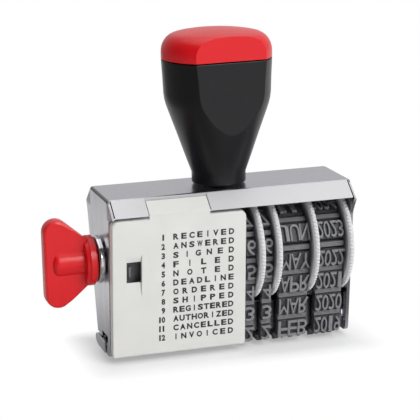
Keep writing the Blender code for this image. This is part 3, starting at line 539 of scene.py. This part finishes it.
# %% Square the cover's corners and soften the edges
def sharpen_corners(piece, corner, keenness):
    low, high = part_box("cover")
    for vert in piece.data.vertices:
        side = 1 if vert.co.x > (low.x + high.x) / 2 else -1
        start_x = (high.x if side > 0 else low.x) - side * corner
        across = side * (vert.co.x - start_x) / corner
        down = (low.z + corner - vert.co.z) / corner
        if 0 < across <= 1 and 0 < down <= 1:
            vert.co.x = start_x + side * corner * across ** keenness
            vert.co.z = low.z + corner - corner * down ** keenness


sharpen_corners(dressed["cover"], 1.6 * MM, 0.35)
for node, edge in EDGES.items():
    bevel(dressed[node], *edge)
print("bevelled:", len(EDGES))

# %% [markdown]
# The bridge's ear comes through the end plate and is hammered flat against it, behind the opening. Each ear is
# a small outline with a round back end, given the thickness of the flattened metal.

# %% Hammer the ears flat
EAR_OUTLINE = (  # Y and Z in mm
    (-1.85, 1.35), (4.6, 1.35), (5.9, 1.55), (6.9, 2.0), (7.35, 2.7), (7.2, 3.4), (6.6, 3.9), (5.8, 4.15),
    (-1.85, 4.15))
EAR_THICK = 0.35 * MM


def make_ears():
    bm = bmesh.new()
    for end in (-1, 1):
        face = bm.faces.new([bm.verts.new((end * FRAME_HALF, y * MM, z * MM)) for y, z in EAR_OUTLINE])
        raised = bmesh.ops.extrude_face_region(bm, geom=[face])
        moved = [part for part in raised["geom"] if isinstance(part, bmesh.types.BMVert)]
        bmesh.ops.translate(bm, verts=moved, vec=(end * EAR_THICK, 0, 0))
    bmesh.ops.recalc_face_normals(bm, faces=bm.faces)
    ears = make_object("bridge_ears", bm, NICKEL)
    bevel(ears, 0.15, 2, 20)
    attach(ears, BODY_OF["bridge"])
    return ears


print(make_ears().name, "made,", round(EAR_THICK / MM, 2), "mm thick")

# %% [markdown]
# ## Geometry Nodes in a script
# A small class adds nodes and links them. Inputs of a modifier are set by the socket's identifier, and the
# evaluated result becomes a plain mesh.

# %% A tree that builds geometry
class Tree:
    """A node group with a named input for each size; on_points lets in a mesh of points as well."""

    def __init__(self, name, sizes, on_points=False):
        self.group = bpy.data.node_groups.new(name, "GeometryNodeTree")
        sockets = self.group.interface
        if on_points:
            sockets.new_socket("Geometry", in_out="INPUT", socket_type="NodeSocketGeometry")
        sockets.new_socket("Geometry", in_out="OUTPUT", socket_type="NodeSocketGeometry")
        self.sizes = {}
        for label, value in sizes.items():
            kind = "NodeSocketInt" if isinstance(value, int) else "NodeSocketFloat"
            socket = sockets.new_socket(label, in_out="INPUT", socket_type=kind)
            self.sizes[label] = (socket.identifier, value)
        self.inputs = self.group.nodes.new("NodeGroupInput")
        self.output = self.group.nodes.new("NodeGroupOutput")

    def size(self, label):
        return self.inputs.outputs[label]

    def add(self, kind, settings=None, values=None, output=0):
        made = self.group.nodes.new(kind)
        for name, value in (settings or {}).items():
            setattr(made, name, value)
        for key, value in (values or {}).items():
            if isinstance(value, bpy.types.NodeSocket):
                self.group.links.new(value, made.inputs[key])
            else:
                made.inputs[key].default_value = value
        return made.outputs[output]

    def maths(self, operation, first, second):
        return self.add("ShaderNodeMath", {"operation": operation}, {0: first, 1: second})

    def mesh(self, name, geometry, finish, base=None):
        """Realizes the instances, runs the tree on base and returns a plain mesh."""
        real = self.add("GeometryNodeRealizeInstances", {}, {0: geometry})
        done = self.add("GeometryNodeSetMaterial", {}, {0: real, "Material": finish})
        self.group.links.new(done, self.output.inputs[0])
        carrier = linked(name, base or bpy.data.meshes.new(name))
        step = carrier.modifiers.new("build", "NODES")
        step.node_group = self.group
        for identifier, value in self.sizes.values():
            step[identifier] = value
        made = evaluated_mesh(carrier)
        bpy.data.objects.remove(carrier)
        return made


print("geometry helper ready")

# %% [markdown]
# ## Thumb wheels
# Each date band is turned by a wheel whose rim is milled with fine teeth. One tooth repeats all the way round,
# which is what Geometry Nodes are for: a small rounded ridge is placed on a circle, once for each of its
# points, and turned to face outwards.

# %% Mill the rims
TEETH = 88
RIDGE = 0.31 * MM
RIM_WIDTH = 1.1 * MM
DISC_RADIUS = RIM_RADIUS - 0.4 * MM


def rim_ridges(name, right):
    """Ridges on a circle about the axle's line, on a rim that ends at the wheel's right face."""
    tree = Tree(name, {"Teeth": TEETH, "Radius": RIM_RADIUS - RIDGE, "Ridge": RIDGE, "Width": RIM_WIDTH})
    circle = tree.add("GeometryNodeMeshCircle", {"fill_type": "NONE"}, {
        "Vertices": tree.size("Teeth"), "Radius": tree.size("Radius")})
    bead = tree.add("GeometryNodeMeshUVSphere", {}, {"Segments": 8, "Rings": 5, "Radius": tree.size("Ridge")})
    longer = tree.maths("DIVIDE", tree.size("Width"), tree.maths("MULTIPLY", tree.size("Ridge"), 2.0))
    stretch = tree.add("ShaderNodeCombineXYZ", {}, {"X": 1.0, "Y": 1.0, "Z": longer})
    place = tree.add("GeometryNodeInputPosition")
    outwards = tree.add("FunctionNodeAlignRotationToVector", {"axis": "X"}, {"Vector": place})
    ridges = tree.add("GeometryNodeInstanceOnPoints", {}, {
        "Points": circle, "Instance": bead, "Rotation": outwards, "Scale": stretch})
    made = tree.mesh(name, ridges, DATE_WHEEL)
    upright = Matrix.Rotation(math.pi / 2, 4, "Y")
    made.transform(Matrix.Translation((right - RIM_WIDTH / 2, 0, AXLE_HEIGHT)) @ upright)
    return made


print("ridges every", round(2 * math.pi * RIM_RADIUS / TEETH / MM, 2), "mm of rim")

# %% [markdown]
# The ridges stand on a rim with round sides, a little proud of the disc on both faces. It is an ellipse swept
# round the axle, which a short loop in bmesh makes directly.

# %% Round the rims
RIM_PROUD = 0.22 * MM
RIM_DEPTH = 0.72 * MM


def closed_strip(bm, rings):
    """Faces from each ring of points to the next, and from the last to the first."""
    for first, second in zip(rings, rings[1:] + rings[:1]):
        for stop in range(len(first)):
            after = (stop + 1) % len(first)
            bm.faces.new((first[stop], first[after], second[after], second[stop]))


def add_rim(bm, right):
    stops, around = 12, 96
    middle, half = right - RIM_WIDTH / 2, RIM_WIDTH / 2 + RIM_PROUD
    rings = []
    for step in range(around):
        turn = 2 * math.pi * step / around
        ring = []
        for stop in range(stops):
            angle = 2 * math.pi * stop / stops
            radius = DISC_RADIUS - 0.75 * MM + RIM_DEPTH * math.cos(angle)
            x = middle + half * math.sin(angle)
            ring.append(bm.verts.new((x, radius * math.cos(turn), AXLE_HEIGHT + radius * math.sin(turn))))
        rings.append(ring)
    closed_strip(bm, rings)


print("rim:", round((RIM_WIDTH + 2 * RIM_PROUD) / MM, 2), "mm wide")

# %% [markdown]
# A wheel's own copy is fitted to its ridges and its band. Points at the disc's edge are drawn in under the
# ridges, and points on the drum are pushed out to just inside the band.

# %% Dress the wheels
DATE_DRUM = 7.4 * MM
BORE_LIMIT = 5 * MM  # points nearer the axle than this belong to the bore


def from_axle(point):
    return math.hypot(point.y, point.z - AXLE_HEIGHT)


def to_radius(point, radius):
    share = radius / from_axle(point)
    point.y *= share
    point.z = AXLE_HEIGHT + (point.z - AXLE_HEIGHT) * share


def dress_wheel(band):
    node = band + "_wheel"
    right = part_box(node)[1].x
    bm = cleaned(node)
    for vert in bm.verts:
        if from_axle(vert.co) > RIM_RADIUS - 0.6 * MM:
            to_radius(vert.co, DISC_RADIUS)
        elif from_axle(vert.co) > BORE_LIMIT:
            to_radius(vert.co, DATE_DRUM - 0.3 * MM)
    rim = [
        edge for edge in bm.edges
        if min(from_axle(vert.co) for vert in edge.verts) > DISC_RADIUS - 0.1 * MM
        and abs(edge.verts[0].co.x - edge.verts[1].co.x) < 0.1 * MM]
    bmesh.ops.bevel(bm, geom=rim, offset=0.28 * MM, segments=3, affect="EDGES", profile=0.5)
    add_rim(bm, right)
    bm.from_mesh(rim_ridges(node + "_ridges", right))
    return stand_for(node, bm, DATE_WHEEL, 40)


for band in ("tens", "units", "month", "year"):
    dress_wheel(band)
print("wheels milled:", TEETH, "teeth each")

# %% [markdown]
# ## Rubber bands
# A band is one moulding: a belt, raised blocks, and type on each block. The belt follows a rule, with a flat
# under the bridge, a small arc at each of its edges, two straight runs and a large arc on the drum.
# `Loop.place` walks that rule by length, so blocks and type can be set out evenly. A path drawn by hand would
# stretch them.

# %% The way of a band
EDGE = 1.3 * MM  # radius at the bridge's edges
HALF_FLAT = 3.0 * MM
BELT = 0.8 * MM  # thickness of the belt, then of the blocks, then of the type
BLOCK = 1.1 * MM
RELIEF = 0.8 * MM
EDGE_HEIGHT = BELT + BLOCK + RELIEF + EDGE
PHRASE_DRUM = 6.0 * MM


class Loop:
    """The belt's inner side, round a drum of the given radius; the way starts below and rises in front."""

    def __init__(self, drum):
        rise = AXLE_HEIGHT - EDGE_HEIGHT
        self.drum = drum
        self.tilt = math.asin((drum - EDGE) / math.hypot(HALF_FLAT, rise)) - math.atan2(HALF_FLAT, rise)
        self.turn = math.pi / 2 - self.tilt
        self.edge_end = HALF_FLAT + (EDGE + BELT / 2) * self.turn
        self.run_end = self.edge_end + math.sqrt(HALF_FLAT ** 2 + rise ** 2 - (drum - EDGE) ** 2)
        self.half = self.run_end + (drum + BELT / 2) * (math.pi / 2 + self.tilt)

    def place(self, along):
        """Point and outward normal, both in Y and Z."""
        along = along % (2 * self.half)
        side = 1
        if along > self.half:
            along = 2 * self.half - along
            side = -1
        corner = Vector((-HALF_FLAT, EDGE_HEIGHT))
        if along <= HALF_FLAT:
            point, normal = Vector((-along, EDGE_HEIGHT - EDGE)), Vector((0, -1))
        elif along <= self.edge_end:
            angle = (along - HALF_FLAT) / (EDGE + BELT / 2)
            normal = Vector((-math.sin(angle), -math.cos(angle)))
            point = corner + normal * EDGE
        elif along <= self.run_end:
            normal = Vector((-math.sin(self.turn), -math.cos(self.turn)))
            uphill = Vector((-math.cos(self.turn), math.sin(self.turn)))
            point = corner + normal * EDGE + uphill * (along - self.edge_end)
        else:
            angle = self.turn + (along - self.run_end) / (self.drum + BELT / 2)
            normal = Vector((-math.sin(angle), -math.cos(angle)))
            point = Vector((0, AXLE_HEIGHT)) + normal * self.drum
        return Vector((point.x * side, point.y)), Vector((normal.x * side, normal.y))


PHRASE_LOOP = Loop(PHRASE_DRUM)
DATE_LOOP = Loop(DATE_DRUM)
print("band lengths", round(2 * PHRASE_LOOP.half / MM, 1), round(2 * DATE_LOOP.half / MM, 1), "mm")

# %% [markdown]
# One helper gives the place of a block or a letter as a matrix that lies on the band. The other sweeps the
# belt's flat section round it.

# %% Places on a band
def seat(loop, x, along, height):
    """Matrix that lays a shape on the band: its x along X, its y down the band, its z outwards."""
    point, normal = loop.place(along)
    middle = point + normal * height
    down = Vector((-normal.y, normal.x))
    return Matrix((
        (1, 0, 0, x), (0, down.x, normal.x, middle.x), (0, down.y, normal.y, middle.y), (0, 0, 0, 1)))


def add_belt(bm, loop, left, right):
    """A closed belt: inner and outer side, joined at both edges."""
    stops = 96
    rings = []
    for x, height in ((left, BELT), (right, BELT), (right, 0), (left, 0)):
        ring = []
        for step in range(stops):
            point, normal = loop.place(2 * loop.half * step / stops)
            point = point + normal * height
            ring.append(bm.verts.new((x, point.x, point.y)))
        rings.append(ring)
    closed_strip(bm, rings)


print("band helpers ready")

# %% [markdown]
# Blocks for the type and plain bars between them repeat along the band, so Geometry Nodes set them out. The
# script gives the tree one point for each, with the angle at which it stands. The tree makes one block and
# one ribbed bar, and puts them on the points.

# %% Set out blocks and bars
def seat_points(loop, left, right, count):
    """A mesh of points: even ones carry a block and odd ones a bar."""
    verts, turns = [], []
    for index in range(2 * count):
        point, normal = loop.place(index * loop.half / count)
        verts.append(((left + right) / 2, *(point + normal * BELT * 0.5)))
        turns.append(math.atan2(-normal.x, normal.y))
    mesh = bpy.data.meshes.new("seats")
    mesh.from_pydata(verts, [], [])
    turn = mesh.attributes.new("turn", "FLOAT", "POINT")
    odd = mesh.attributes.new("odd", "BOOLEAN", "POINT")
    for index, value in enumerate(turns):
        turn.data[index].value = value
        odd.data[index].value = bool(index % 2)
    return mesh


def frustum(tree, width, length, height, shade):
    """A block with sloping sides that stands on its origin, lighter or darker by its shade."""
    # A cone with four corners is a square block: its radius reaches its corners, half a side times root 2
    cone = tree.add("GeometryNodeMeshCone", {"fill_type": "NGON"}, {
        "Vertices": 4, "Radius Top": 0.485 * math.sqrt(2), "Radius Bottom": 0.5 * math.sqrt(2), "Depth": 1.0})
    square = tree.add("GeometryNodeTransform", {}, {"Geometry": cone, "Rotation": (0, 0, math.pi / 4)})
    size = tree.add("ShaderNodeCombineXYZ", {}, {0: width, 1: length, 2: height})
    sized = tree.add("GeometryNodeTransform", {}, {"Geometry": square, "Scale": size})
    return tree.add("GeometryNodeStoreNamedAttribute", {"data_type": "FLOAT", "domain": "POINT"}, {
        "Geometry": sized, "Name": "proud", "Value": shade})


BLOCK_SHADE, BAR_SHADE, RIB_SHADE, FACE_SHADE = 0.14, 0.4, 0.62, 0.62  # how light each is painted: partly dust, partly painted shade and painted highlight


def band_carcass(name, loop, left, right, count, block, bar):
    tree = Tree(name, {
        "Width": right - left, "Block": block, "Bar": bar, "Rib": 0.14 * MM,
        "Height": BELT * 0.5 + BLOCK}, on_points=True)
    seats = tree.inputs.outputs["Geometry"]
    turn = tree.add("GeometryNodeInputNamedAttribute", {"data_type": "FLOAT"}, {"Name": "turn"})
    odd = tree.add("GeometryNodeInputNamedAttribute", {"data_type": "BOOLEAN"}, {"Name": "odd"})
    even = tree.add("FunctionNodeBooleanMath", {"operation": "NOT"}, {0: odd})
    rotation = tree.add("ShaderNodeCombineXYZ", {}, {"X": turn})
    width, height = tree.size("Width"), tree.size("Height")
    plate = frustum(tree, width, tree.size("Block"), height, BLOCK_SHADE)
    strip = frustum(tree, width, tree.size("Bar"), height, BAR_SHADE)
    rib = frustum(tree, width, tree.size("Rib"), tree.maths("ADD", height, 0.05 * MM), RIB_SHADE)
    gap = tree.maths("MULTIPLY", tree.size("Bar"), 0.28)
    ribs = [
        tree.add("GeometryNodeTransform", {}, {
            "Geometry": rib, "Translation": tree.add("ShaderNodeCombineXYZ", {}, {
                "Y": tree.maths("MULTIPLY", gap, side)})})
        for side in (-1.0, 0.0, 1.0)]
    ribbed = tree.add("GeometryNodeJoinGeometry")
    for part in (strip, *ribs):
        tree.group.links.new(part, ribbed.node.inputs[0])
    joined = tree.add("GeometryNodeJoinGeometry")
    for selection, shape in ((even, plate), (odd, ribbed)):
        placed = tree.add("GeometryNodeInstanceOnPoints", {}, {
            "Points": seats, "Selection": selection, "Instance": shape, "Rotation": rotation})
        tree.group.links.new(placed, joined.node.inputs[0])
    return tree.mesh(name, joined, RUBBER, seat_points(loop, left, right, count))


print("carcass tree ready")

# %% [markdown]
# The type is text turned into a mesh: each character is a curve, raised and with a bevelled edge, scaled to the
# height of the type. It is set mirrored, because a stamp prints its mirror image, and its faces are turned
# over to match.

# %% Cast the type
TYPE_CACHE = {}
THIN, BOLD = -0.012, 0.028  # how far a stroke's outline moves in or out


def glyph(character, weight):
    """Points and faces of one raised character. Its width, height and depth all run from 0 to 1."""
    if (character, weight) in TYPE_CACHE:
        return TYPE_CACHE[character, weight]
    text = bpy.data.curves.new("type", "FONT")
    text.body = character
    text.size = 1.0
    text.resolution_u = 3
    text.extrude = 0.08
    text.bevel_depth = 0.014
    text.bevel_resolution = 1
    text.offset = weight
    holder = linked("type", text)
    mesh = evaluated_mesh(holder)
    bpy.data.objects.remove(holder)
    bm = bmesh.new()
    bm.from_mesh(mesh)
    bmesh.ops.remove_doubles(bm, verts=bm.verts, dist=0.0005)
    low = [min(vert.co[axis] for vert in bm.verts) for axis in range(3)]
    high = [max(vert.co[axis] for vert in bm.verts) for axis in range(3)]
    points = [
        tuple((vert.co[axis] - low[axis]) / (high[axis] - low[axis]) for axis in range(3)) for vert in bm.verts]
    bm.verts.index_update()
    faces = [[vert.index for vert in face.verts] for face in bm.faces]
    bm.free()
    TYPE_CACHE[character, weight] = (points, faces)
    return TYPE_CACHE[character, weight]


def add_type(bm, character, place, width, height, low, high, proud, weight=THIN, mirrored=True):
    """Sets one character, with painted shade on its sides and dust and painted highlight on its face's edges.
    """
    points, faces = glyph(character, weight)
    verts = []
    for x, y, z in points:
        vert = bm.verts.new(place @ Vector(((x - 0.5) * width, (y - 0.5) * height, low + (high - low) * z)))
        vert[proud] = 0.0 if z < 0.5 else 1.0 if z < 0.97 else FACE_SHADE
        verts.append(vert)
    for face in faces:
        ring = [verts[index] for index in face]
        bm.faces.new(reversed(ring) if mirrored else ring)


print("type helper ready")

# %% [markdown]
# Months, years and digits are plain generic type. The row that prints is under the bridge, and the next ones
# rise in front. Blank rows are where the loop is joined. A letter fills its share of the band's width.

# %% Make the date bands
MONTHS = ("JAN", "FEB", "MAR", "APR", "MAY", "JUN", "JUL", "AUG", "SEP", "OCT", "NOV", "DEC", "   ")
YEARS = tuple(str(2018 + step) for step in range(12)) + ("    ",)
DIGITS = tuple("1234567890") + (" ",) * 4
NARROW = {"1": 0.55, "I": 0.35, "J": 0.85}


def build_band(node, loop, rows, type_height, centres, cell, blocks_from=0.0):
    """A whole band; its blocks start blocks_from its left edge."""
    low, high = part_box(node)
    pitch = 2 * loop.half / len(rows)
    block = min(type_height + 0.35 * MM, pitch - 1.1 * MM)
    bar = pitch - block - 0.3 * MM
    bm = bmesh.new()
    bm.from_mesh(band_carcass(node + "_carcass", loop, low.x + blocks_from, high.x, len(rows), block, bar))
    proud = bm.verts.layers.float["proud"]
    add_belt(bm, loop, low.x, high.x)
    top = BELT + BLOCK
    for index, row in enumerate(rows):
        for x, character in zip(centres, row):
            if character != " ":
                place = seat(loop, x, index * pitch, 0)
                width = cell * NARROW.get(character, 1.0)
                add_type(bm, character, place, width, type_height, top - 0.1 * MM, top + RELIEF, proud)
    return stand_for(node, bm, RUBBER, 35)


for node, rows, type_height, letters in (
        ("tens_band", DIGITS, 3.6 * MM, 1), ("units_band", DIGITS, 3.6 * MM, 1),
        ("month_band", MONTHS, 4.0 * MM, 3), ("year_band", YEARS, 4.0 * MM, 4)):
    low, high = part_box(node)
    share = (high.x - low.x) / letters
    centres = [low.x + (high.x - low.x) * (place + 0.5) / letters for place in range(letters)]
    piece = build_band(node, DATE_LOOP, rows, type_height, centres, share - 0.08 * MM)
    print(node, len(piece.data.vertices), "points")

# %% [markdown]
# The phrase band is made in the same way, with one phrase to a block. At its left edge the belt is bare for the
# index numbers that show in the cover's window, so the blocks begin beside them.

# %% Make the phrase band
PHRASES = (
    "RECEIVED", "ANSWERED", "SIGNED", "FILED", "NOTED", "DEADLINE", "ORDERED", "SHIPPED", "REGISTERED",
    "AUTHORIZED", "CANCELLED", "INVOICED")
LONGEST = 10
LETTER_PITCH = 2.2 * MM
INDEX_RIGHT = -22.9 * MM
low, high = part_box("phrase_band")
last = high.x - 1.5 * MM
centres = [last - LETTER_PITCH * (LONGEST - 1 - place) for place in range(LONGEST)]
phrase_band = build_band(
    "phrase_band", PHRASE_LOOP, PHRASES, 4.0 * MM, centres, 1.9 * MM, INDEX_RIGHT - low.x)
print("phrase_band", len(phrase_band.data.vertices), "points")

# %% [markdown]
# The index numbers are read from outside, so they aren't mirrored. The number in the window is that of the
# phrase under the bridge, which is four rows further on.

# %% Number the bare belt
INDEX_X = -25.0 * MM
INDEX_ROW = 4
INDEX_SIZE = Vector((1.3, 2.6)) * MM


def add_index(piece):
    bm = bmesh.new()
    bm.from_mesh(piece.data)
    proud = bm.verts.layers.float["proud"]
    for vert in bm.verts:
        if vert.co.x < INDEX_X and vert[proud] == 0:
            vert[proud] = BAR_SHADE  # painted light: the belt in the window's shaded recess is painted lighter
    pitch = 2 * PHRASE_LOOP.half / len(PHRASES)
    for row in range(len(PHRASES)):
        text = str((row - INDEX_ROW) % len(PHRASES) + 1)
        place = seat(PHRASE_LOOP, 0, row * pitch, 0) @ Matrix.Diagonal((1, -1, 1, 1))
        for index, digit in enumerate(text):
            x = INDEX_X + (index - (len(text) - 1) / 2) * 1.4 * MM
            width = INDEX_SIZE.x * (0.4 if digit == "1" else 1.0)
            add_type(
                bm, digit, Matrix.Translation((x, 0, 0)) @ place, width, INDEX_SIZE.y,
                BELT - 0.1 * MM, BELT + 0.4 * MM, proud, BOLD, mirrored=False)
    bm.to_mesh(piece.data)
    bm.free()
    piece.data.set_sharp_from_angle(angle=math.radians(35))


add_index(phrase_band)
print("phrase_band", len(phrase_band.data.vertices), "points with its numbers")

# %% [markdown]
# ## Legend
# The cover lists what each index number in its window prints. The ink is a thin layer on the moulding, so the
# words are a mesh a few hundredths of a millimetre proud of it. Words are spread to one width, as on the real
# cover, so the letters' pitch differs from row to row.

# %% Print the legend
COVER_LEAN = PHRASE_LOOP.tilt
LEGEND_TOP = 30.5 * MM
LEGEND_PITCH = 2.255 * MM
LEGEND_HEIGHT = 1.47 * MM
NUMBER_RIGHT = -17.35 * MM
WORD_LEFT = -15.3 * MM
WORD_RIGHT = -0.5 * MM
LETTER_WIDTH = 1.3 * MM
DIGIT_WIDTH = 0.85 * MM


def cover_point(height):
    """Y of the cover's front face at a height: in front of the type by a gap and the cover's own thickness."""
    gap, thickness = 0.3 * MM, 1.0 * MM
    clear = PHRASE_DRUM + BELT + BLOCK + RELIEF + gap + thickness
    return -clear / math.cos(COVER_LEAN) - (height - AXLE_HEIGHT) * math.tan(COVER_LEAN)


def legend_place(x, height):
    turn = Matrix.Rotation(math.pi / 2 + COVER_LEAN, 4, "X")
    return Matrix.Translation((x, cover_point(height) - 0.01 * MM, height)) @ turn


def add_ink(bm, character, x, height, width, proud):
    add_type(
        bm, character, legend_place(x, height), width, LEGEND_HEIGHT, -0.02 * MM, 0.03 * MM, proud,
        BOLD, mirrored=False)


def print_legend():
    bm = bmesh.new()
    proud = bm.verts.layers.float.new("proud")
    for row, phrase in enumerate(PHRASES):
        height = LEGEND_TOP - row * LEGEND_PITCH
        step = (WORD_RIGHT - WORD_LEFT - LETTER_WIDTH) / (len(phrase) - 1)
        start = WORD_LEFT + LETTER_WIDTH / 2
        for index, character in enumerate(phrase):
            width = LETTER_WIDTH * (0.21 if character == "I" else 1.0)
            add_ink(bm, character, start + step * index, height, width, proud)
        for index, digit in enumerate(reversed(str(row + 1))):
            width = DIGIT_WIDTH * (0.48 if digit == "1" else 1.0)
            add_ink(bm, digit, NUMBER_RIGHT - 0.35 * MM - index * DIGIT_WIDTH, height, width, proud)
    piece = make_object("cover_legend", bm, INK)
    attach(piece, "stamp")
    return piece


legend = print_legend()
print("legend rows:", len(PHRASES), "points:", len(legend.data.vertices))

# %% [markdown]
# ## Studio
# The stamp stands on white card that keeps a soft shadow under it. More light on the card would bleach the
# object too, so the card glows by itself, for the camera and for reflections only. Its glow grows from the
# frame's outline outwards, and leaves the shadow close to the stamp.

# %% Floor
FLOOR_Z = min(vert.co.z for vert in phrase_band.data.vertices)


def floor_finish():
    white = Finish("floor_white", (0.93, 0.935, 0.95), roughness=0.7)
    x, y, _ = white.parts()
    middle, half = (FRAME_LOW + FRAME_HIGH) / 2, (FRAME_HIGH - FRAME_LOW) / 2
    beyond_x = (abs(x - middle.x) - half.x).over(0, 1)
    beyond_y = (abs(y - middle.y) - half.y).over(0, 1)
    distance = white.root(beyond_x * beyond_x + beyond_y * beyond_y)
    seen, mirrored, through = (
        white.node("ShaderNodeLightPath", {}, {}, f"Is {ray} Ray")
        for ray in ("Camera", "Glossy", "Transmission"))
    share = (seen + mirrored + through) * (0.36 + distance.over(0.0, 7 * MM) * 0.64)
    # What shines sees pale card behind and in front of the stamp, and a darker room to its left
    behind = x.over(-0.12, -0.07) * y.over(0.0, 0.05)
    before = x.over(-0.08, -0.04) * (0 - y).over(0.04, 0.08)
    glow = white.node("ShaderNodeEmission", {}, {
        "Color": (1, 1, 1, 1), "Strength": 1.0 - mirrored * (0.8 - (behind + before) * 0.55)})
    card = Value(white, white.shader.outputs[0])
    white.feed(
        white.tree.nodes["Material Output"].inputs["Surface"],
        white.node("ShaderNodeMixShader", {}, {0: share, 1: card, 2: glow}))
    return white.material


def build_floor():
    half = 1.5
    corners = ((-half, -half), (half, -half), (half, half), (-half, half))
    bm = bmesh.new()
    bm.faces.new([bm.verts.new((x, y, FLOOR_Z)) for x, y in corners])
    floor = make_object("floor", bm, floor_finish())


build_floor()
print("floor at", round(FLOOR_Z / MM, 2), "mm")

# %% [markdown]
# The room is white for the camera. What shines sees it bright behind the stamp, dim in front and to the left,
# with one pale card beside the camera. As a light it is weak, so that the lamps shape the object.

# %% World
def build_world():
    world = bpy.data.worlds.new("studio")
    bpy.context.scene.world = world
    world.use_nodes = True
    tree = world.node_tree

    def add(kind, settings=None):
        made = tree.nodes.new(kind)
        for name, value in (settings or {}).items():
            setattr(made, name, value)
        return made

    def background(strength):
        made = add("ShaderNodeBackground")
        made.inputs["Color"].default_value = (1, 1, 1, 1)
        made.inputs["Strength"].default_value = strength
        return made

    def choose(factor, first, second):
        mix = add("ShaderNodeMixShader")
        tree.links.new(factor, mix.inputs[0])
        tree.links.new(first.outputs[0], mix.inputs[1])
        tree.links.new(second.outputs[0], mix.inputs[2])
        return mix

    def towards(axis, low, high, shape="SMOOTHSTEP"):
        """0 to 1 as the direction turns towards the axis, from one cosine to another."""
        cosine = add("ShaderNodeVectorMath", {"operation": "DOT_PRODUCT"})
        tree.links.new(direction.outputs["Generated"], cosine.inputs[0])
        cosine.inputs[1].default_value = Vector(axis).normalized()
        ramp = add("ShaderNodeMapRange", {"interpolation_type": shape})
        tree.links.new(cosine.outputs["Value"], ramp.inputs["Value"])
        ramp.inputs["From Min"].default_value = low
        ramp.inputs["From Max"].default_value = high
        return ramp.outputs[0]

    path = add("ShaderNodeLightPath").outputs
    direction = add("ShaderNodeTexCoord")
    behind = towards((0, 1, 0), -0.6, 0.9)
    right = towards((1, 0, 0), -0.9, 0.2, "LINEAR")
    card = towards((0.3, -0.95, 0), 0.8, 0.93)
    reflected = choose(behind, background(0.12), background(0.68))
    reflected = choose(right, background(0.05), reflected)
    reflected = choose(card, reflected, background(0.75))
    lighting = choose(right, background(0.14), background(0.4))
    seen = choose(path["Is Glossy Ray"], lighting, reflected)
    clear = choose(path["Is Transmission Ray"], seen, background(1.0))
    final = choose(path["Is Camera Ray"], clear, background(1.0))
    tree.links.new(final.outputs[0], tree.nodes["World Output"].inputs["Surface"])
    tree.nodes.remove(tree.nodes["Background"])


build_world()
print("world:", bpy.context.scene.world.name)

# %% [markdown]
# Two large lamps give soft light: one above, and one in front on the right for the cover and the type.

# %% Lamps
def area_light(name, place, aim, side, power):
    lamp = bpy.data.lights.new(name, "AREA")
    lamp.shape = "RECTANGLE"
    lamp.size = lamp.size_y = side
    lamp.energy = power
    lit = linked(name, lamp)
    lit.location = place
    lit.rotation_euler = (Vector(aim) - Vector(place)).to_track_quat("-Z", "Y").to_euler()


area_light("overhead", (0.0, 0.1, 0.9), (0, 0, 0.03), 1.0, 3.0)
area_light("key", (0.35, -0.75, 0.6), (0, 0, 0.04), 0.5, 6.0)
bpy.context.scene.view_settings.view_transform = "Standard"
print("lamps:", len(bpy.data.lights))
